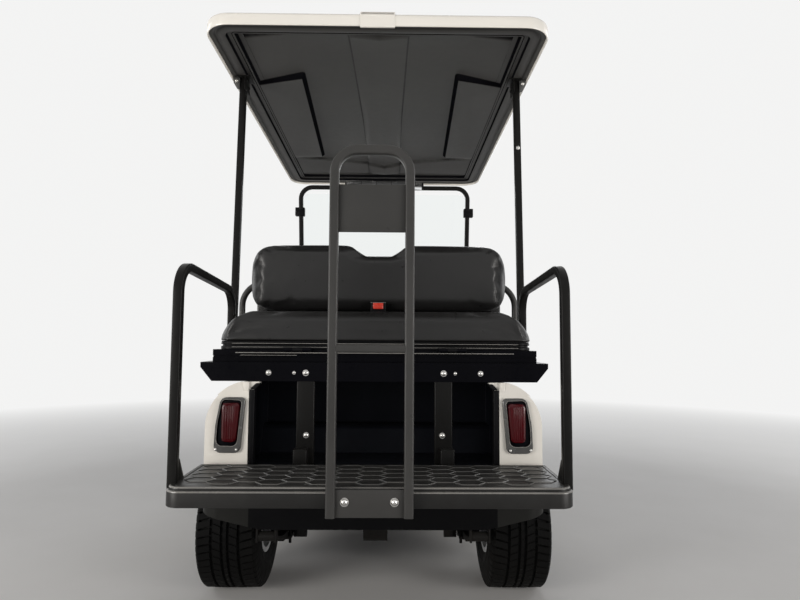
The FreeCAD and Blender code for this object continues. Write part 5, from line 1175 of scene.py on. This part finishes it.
# across the tread: place along the axle, and whether it is the floor of a ring groove
RIBS = [(-0.082, 0), (-0.0495, 0), (-0.0475, 1), (-0.0415, 1), (-0.0395, 0), (-0.0150, 0),
        (-0.0130, 1), (-0.0070, 1), (-0.0050, 0), (0.0050, 0), (0.0070, 1), (0.0130, 1),
        (0.0150, 0), (0.0395, 0), (0.0415, 1), (0.0475, 1), (0.0495, 0), (0.082, 0)]
# place along the axle and radius, from the shoulder down to the bead
SIDE = [(0.088, 0.2275), (0.0935, 0.2235), (0.0975, 0.216), (0.1000, 0.205), (0.1028, 0.190),
        (0.1040, 0.172), (0.1030, 0.156), (0.1040, 0.150), (0.1022, 0.146), (0.1000, 0.134),
        (0.0955, 0.121), (0.0905, 0.113), (0.0880, 0.106), (0.0860, 0.1042)]
across = [(-x, r, 0, 0) for x, r in SIDE[::-1]] + [(x, TYRE_R, g, 1) for x, g in RIBS]
across += [(x, r, 0, 0) for x, r in SIDE]
x, profile, groove, on_tread = np.array(across).T
print("tyre profile", len(across), "points")

# %% Tyre grid with its cuts
# the shoulder carries the cuts down its side
cut_here = on_tread + (np.abs(x) > 0.0819) * (profile > 0.2158)
# in each pitch a cut starts and ends at these shares of it
PHASES = np.array([0.0, 0.74, 0.785, 0.955])
theta = ((np.arange(PITCHES)[:, None] + PHASES) * 2 * np.pi / PITCHES).ravel()
deep = np.tile([0.0, 0.0, 1.0, 1.0], PITCHES)
# the five ribs from side to side: where the cuts start, how they slant, and how deep they are
rib = np.select([x < -0.044, x < -0.010, x < 0.010, x < 0.044], [0, 1, 2, 3], 4)
START = np.array([0.0, 0.5, 0.2, 0.9, 0.4])[rib]
SLOPE = np.array([9.0, -14.0, 16.0, -14.0, 9.0])[rib]
CUT = np.array([0.0065, 0.0042, 0.0022, 0.0042, 0.0065])[rib]
shift = START + np.clip(x, -0.1, 0.1) * SLOPE
angle = theta[:, None] + shift * 2 * np.pi / PITCHES
push = np.maximum(groove * 0.0075, deep[:, None] * CUT * cut_here)
radius = profile - push * np.where(profile < 0.2274, 0.45, 1.0)
# a shallow crown over the tread
radius = radius - np.where(on_tread > 0, 0.0018 * (x / 0.082) ** 2, 0)
grid = np.stack([np.broadcast_to(x, radius.shape), radius * np.cos(angle),
                 radius * np.sin(angle)], -1)
inner_ring = np.stack([np.broadcast_to([0.0855, -0.0855], (len(theta), 2)),
                       0.110 * np.cos(angle[:, [-1, 0]]), 0.110 * np.sin(angle[:, [-1, 0]])], -1)
tyre = skin(np.concatenate([grid, inner_ring], 1), loop=True)
for corner in CORNERS:
    node = "tyre_" + corner
    centre = [middle(node, axis) for axis in range(3)]
    piece("tread_" + corner, [moved(tyre if "right" in corner else mirrored(tyre), centre)],
          "wheel_" + corner, [RUBBER], [node], smooth=28)

# %% Wheel nuts and dust caps
NUT_RING, NUT_OUT = 0.05075, 0.052
NUT = [(0, 0.0105), (0.010, 0.0105), (0.0125, 0.009), (0.0125, 0.002)]
CAP = [(0.0, 0.031), (0.018, 0.030), (0.023, 0.027), (0.0255, 0.020), (0.026, 0.004)]
for corner in CORNERS:
    s = 1 if "right" in corner else -1
    centre = np.array([middle("tyre_" + corner, 0) + s * NUT_OUT, middle("tyre_" + corner, 1),
                       AXLE_Z])
    turns = 2 * np.pi * (np.arange(4) + 0.5) / 4
    parts = [lathe(NUT, centre + [0, NUT_RING * math.cos(a), NUT_RING * math.sin(a)], (s, 0, 0), 6)
             for a in turns]
    parts.append(lathe(CAP, centre, (s, 0, 0), 32, mat=1))
    piece("nuts_" + corner, parts, "wheel_" + corner, [ZINC, MOULDED])

# %% [markdown]
# ## Mirror
#
# A wide curved mirror hangs from the front strut: a black shell with five glasses set in its
# rear face, on two clamps. Shell and glasses are slices along the same bowed line, so that they
# fit without being placed one by one.

# %% Mirror shell, glasses and clamps
MIRROR_HALF = span("mirror", 0)[1]
MIRROR_FRONT = HEAD_Y - STRUT / 2 - 0.030
PANES, PANE, GAP = 5, 0.384, 0.012


def bowed(share):
    """The mirror's rear face: front - 26 mm * (1 - |share| ** 2.4), share of the half width."""
    return MIRROR_FRONT - 0.026 * (1 - np.abs(share) ** 2.4)


def slices(shares, rear, front, half, radius, steps, mat=0):
    """Upright slices along the mirror, each from rear to front and half high up and down."""
    rows = zip(shares, *np.broadcast_arrays(rear, front, half))
    return skin([place("x", outline(rect((low, high), about(HEAD_Z, h)), radius, steps=steps),
                       share * MIRROR_HALF) for share, low, high, h in rows], mat=mat)


u = np.linspace(-1, 1, 33)
shell = slices(u, bowed(u), MIRROR_FRONT + 0.0025, 0.027 * (1 - 0.30 * np.abs(u) ** 6), 0.004, 4)
glasses = []
for k in range(PANES):
    q = np.linspace(-0.96 + k * PANE, -0.96 + (k + 1) * PANE - GAP, 9)
    glasses.append(slices(q, bowed(q) - 0.0010, bowed(q) + 0.002, 0.0225, 0.001, 3, mat=1))
clamps = [block(about(x, 0.014), (MIRROR_FRONT, HEAD_Y - STRUT / 2 + 0.002), about(HEAD_Z, 0.010),
                0.004, 0.002) for x in about(0, 0.120)]
piece("mirror_wide", [shell] + glasses + clamps, "chassis", [MOULDED, MIRROR],
      ["mirror"])

# %% [markdown]
# ## Camera, light and floor
#
# The photograph was taken standing behind the cart, low down, looking slightly up. The camera
# stands there. Broad lamps give soft studio light. The world is nearly white only where the
# camera, a gloss or glass looks at it and faint where it lights, so a pale background costs the
# dark parts none of their depth.

# %% Camera
view = bpy.data.cameras.new("camera")
view.lens, view.sensor_width = 25.92, 36.0
view.clip_end = 200
camera = added("camera", view)
# degrees: looking up, turned to the right, and turned about the line of sight
PITCH, HEADING, ROLL = 4.07, 0.67, 0.336
turn = (Matrix.Rotation(math.radians(-HEADING), 4, "Z")
        @ Matrix.Rotation(math.radians(90 + PITCH), 4, "X")
        @ Matrix.Rotation(math.radians(ROLL), 4, "Z"))
camera.matrix_world = Matrix.Translation((0.0574, REAR_AXLE - 2.15, 0.87)) @ turn
bpy.context.scene.camera = camera
print("camera at", [round(v, 3) for v in camera.matrix_world.translation])

# %% Lamps


def softbox(name, place_at, look_at, size, power, colour=(1, 1, 1)):
    """An area lamp, wide and high as size says, that faces a point."""
    lamp = bpy.data.lights.new(name, "AREA")
    lamp.shape = "RECTANGLE"
    lamp.size, lamp.size_y = size
    lamp.energy, lamp.color = power, colour
    obj = added(name, lamp)
    obj.location = place_at
    towards = Vector(look_at) - Vector(place_at)
    obj.rotation_euler = towards.to_track_quat("-Z", "Y").to_euler()
    obj.visible_camera = obj.visible_transmission = False


softbox("key", (-3.7, -3.9, 1.1), (0, -0.9, 0.8), (2.2, 1.8), 143, (1.0, 0.97, 0.93))
softbox("fill", (3.8, -3.6, 0.95), (0, -0.9, 0.8), (2.0, 1.6), 112, (1.0, 0.97, 0.94))
softbox("top", (-0.6, -3.4, 3.8), (0, -0.6, 0.9), (5.0, 0.5), 8, (1.0, 0.98, 0.95))
softbox("front", (0.6, 4.6, 3.4), (0, 0.3, 1.0), (3.2, 2.4), 95, (0.96, 0.98, 1.0))
softbox("left", (-4.4, 0.6, 2.4), (0, 0.2, 0.9), (2.6, 2.6), 40)
softbox("right", (4.4, 1.0, 2.4), (0, 0.2, 0.9), (2.6, 2.6), 40)
print(len(bpy.data.lights), "lamps")

# %% World: nearly white where it is seen, faint where it lights
BACKDROP = (0.90, 0.90, 0.895, 1)
world = bpy.data.worlds.new("studio")
world.use_nodes = True
bpy.context.scene.world = world
tree = world.node_tree
tree.nodes.clear()
path = tree.nodes.new("ShaderNodeLightPath").outputs
seen = worked(tree, "MAXIMUM", path["Is Camera Ray"], path["Is Glossy Ray"])
seen = worked(tree, "MAXIMUM", seen, path["Is Transmission Ray"])
lit = wire(tree, "Background", {"Color": (0.93, 0.95, 1.0, 1), "Strength": 0.12})
shown = wire(tree, "Background", {"Color": BACKDROP, "Strength": 1.0})
both_ways = wire(tree, "MixShader", {0: seen, 1: lit.outputs[0], 2: shown.outputs[0]})
wire(tree, "OutputWorld", {0: both_ways.outputs[0]})
print("world", len(tree.nodes), "nodes")

# %% Floor that fades into the backdrop
FLOOR_HALF = 60
floor_mesh = bpy.data.meshes.new("studio_floor")
floor_mesh.from_pydata([(x, y, 0) for x, y in rect(about(0, FLOOR_HALF), about(0, FLOOR_HALF))],
                       [], [(0, 1, 2, 3)])
floor_obj = added("studio_floor", floor_mesh)
FLOOR, tree, shader, where = started("pale_floor")
speck = noise(tree, where, 3.0, 5.0)
tree.links.new(mixed(tree, speck, (0.66, 0.65, 0.635, 1), (0.72, 0.71, 0.70, 1)),
               shader.inputs["Base Color"])
constant(shader, Roughness=0.85, Specular_IOR_Level=0.10)
far = wire(tree, "VectorMath", {0: where}, operation="LENGTH").outputs["Value"]
# the camera sees the floor fade nearer to the cart than other rays do
looks = tree.nodes.new("ShaderNodeLightPath").outputs["Is Camera Ray"]
fade = wire(tree, "Mix", {0: looks, 2: remap(tree, far, 4.0, 14.0), 3: remap(tree, far, 2.2, 6.5)},
            data_type="FLOAT")
glow = wire(tree, "Emission", {"Color": BACKDROP, "Strength": 1.0})
blend = wire(tree, "MixShader", {0: fade.outputs[0], 1: shader.outputs[0], 2: glow.outputs[0]})
tree.links.new(blend.outputs[0], tree.nodes["Material Output"].inputs[0])
floor_mesh.materials.append(FLOOR)
bpy.context.scene.view_settings.view_transform = "Standard"
print("floor", 2 * FLOOR_HALF, "m across")
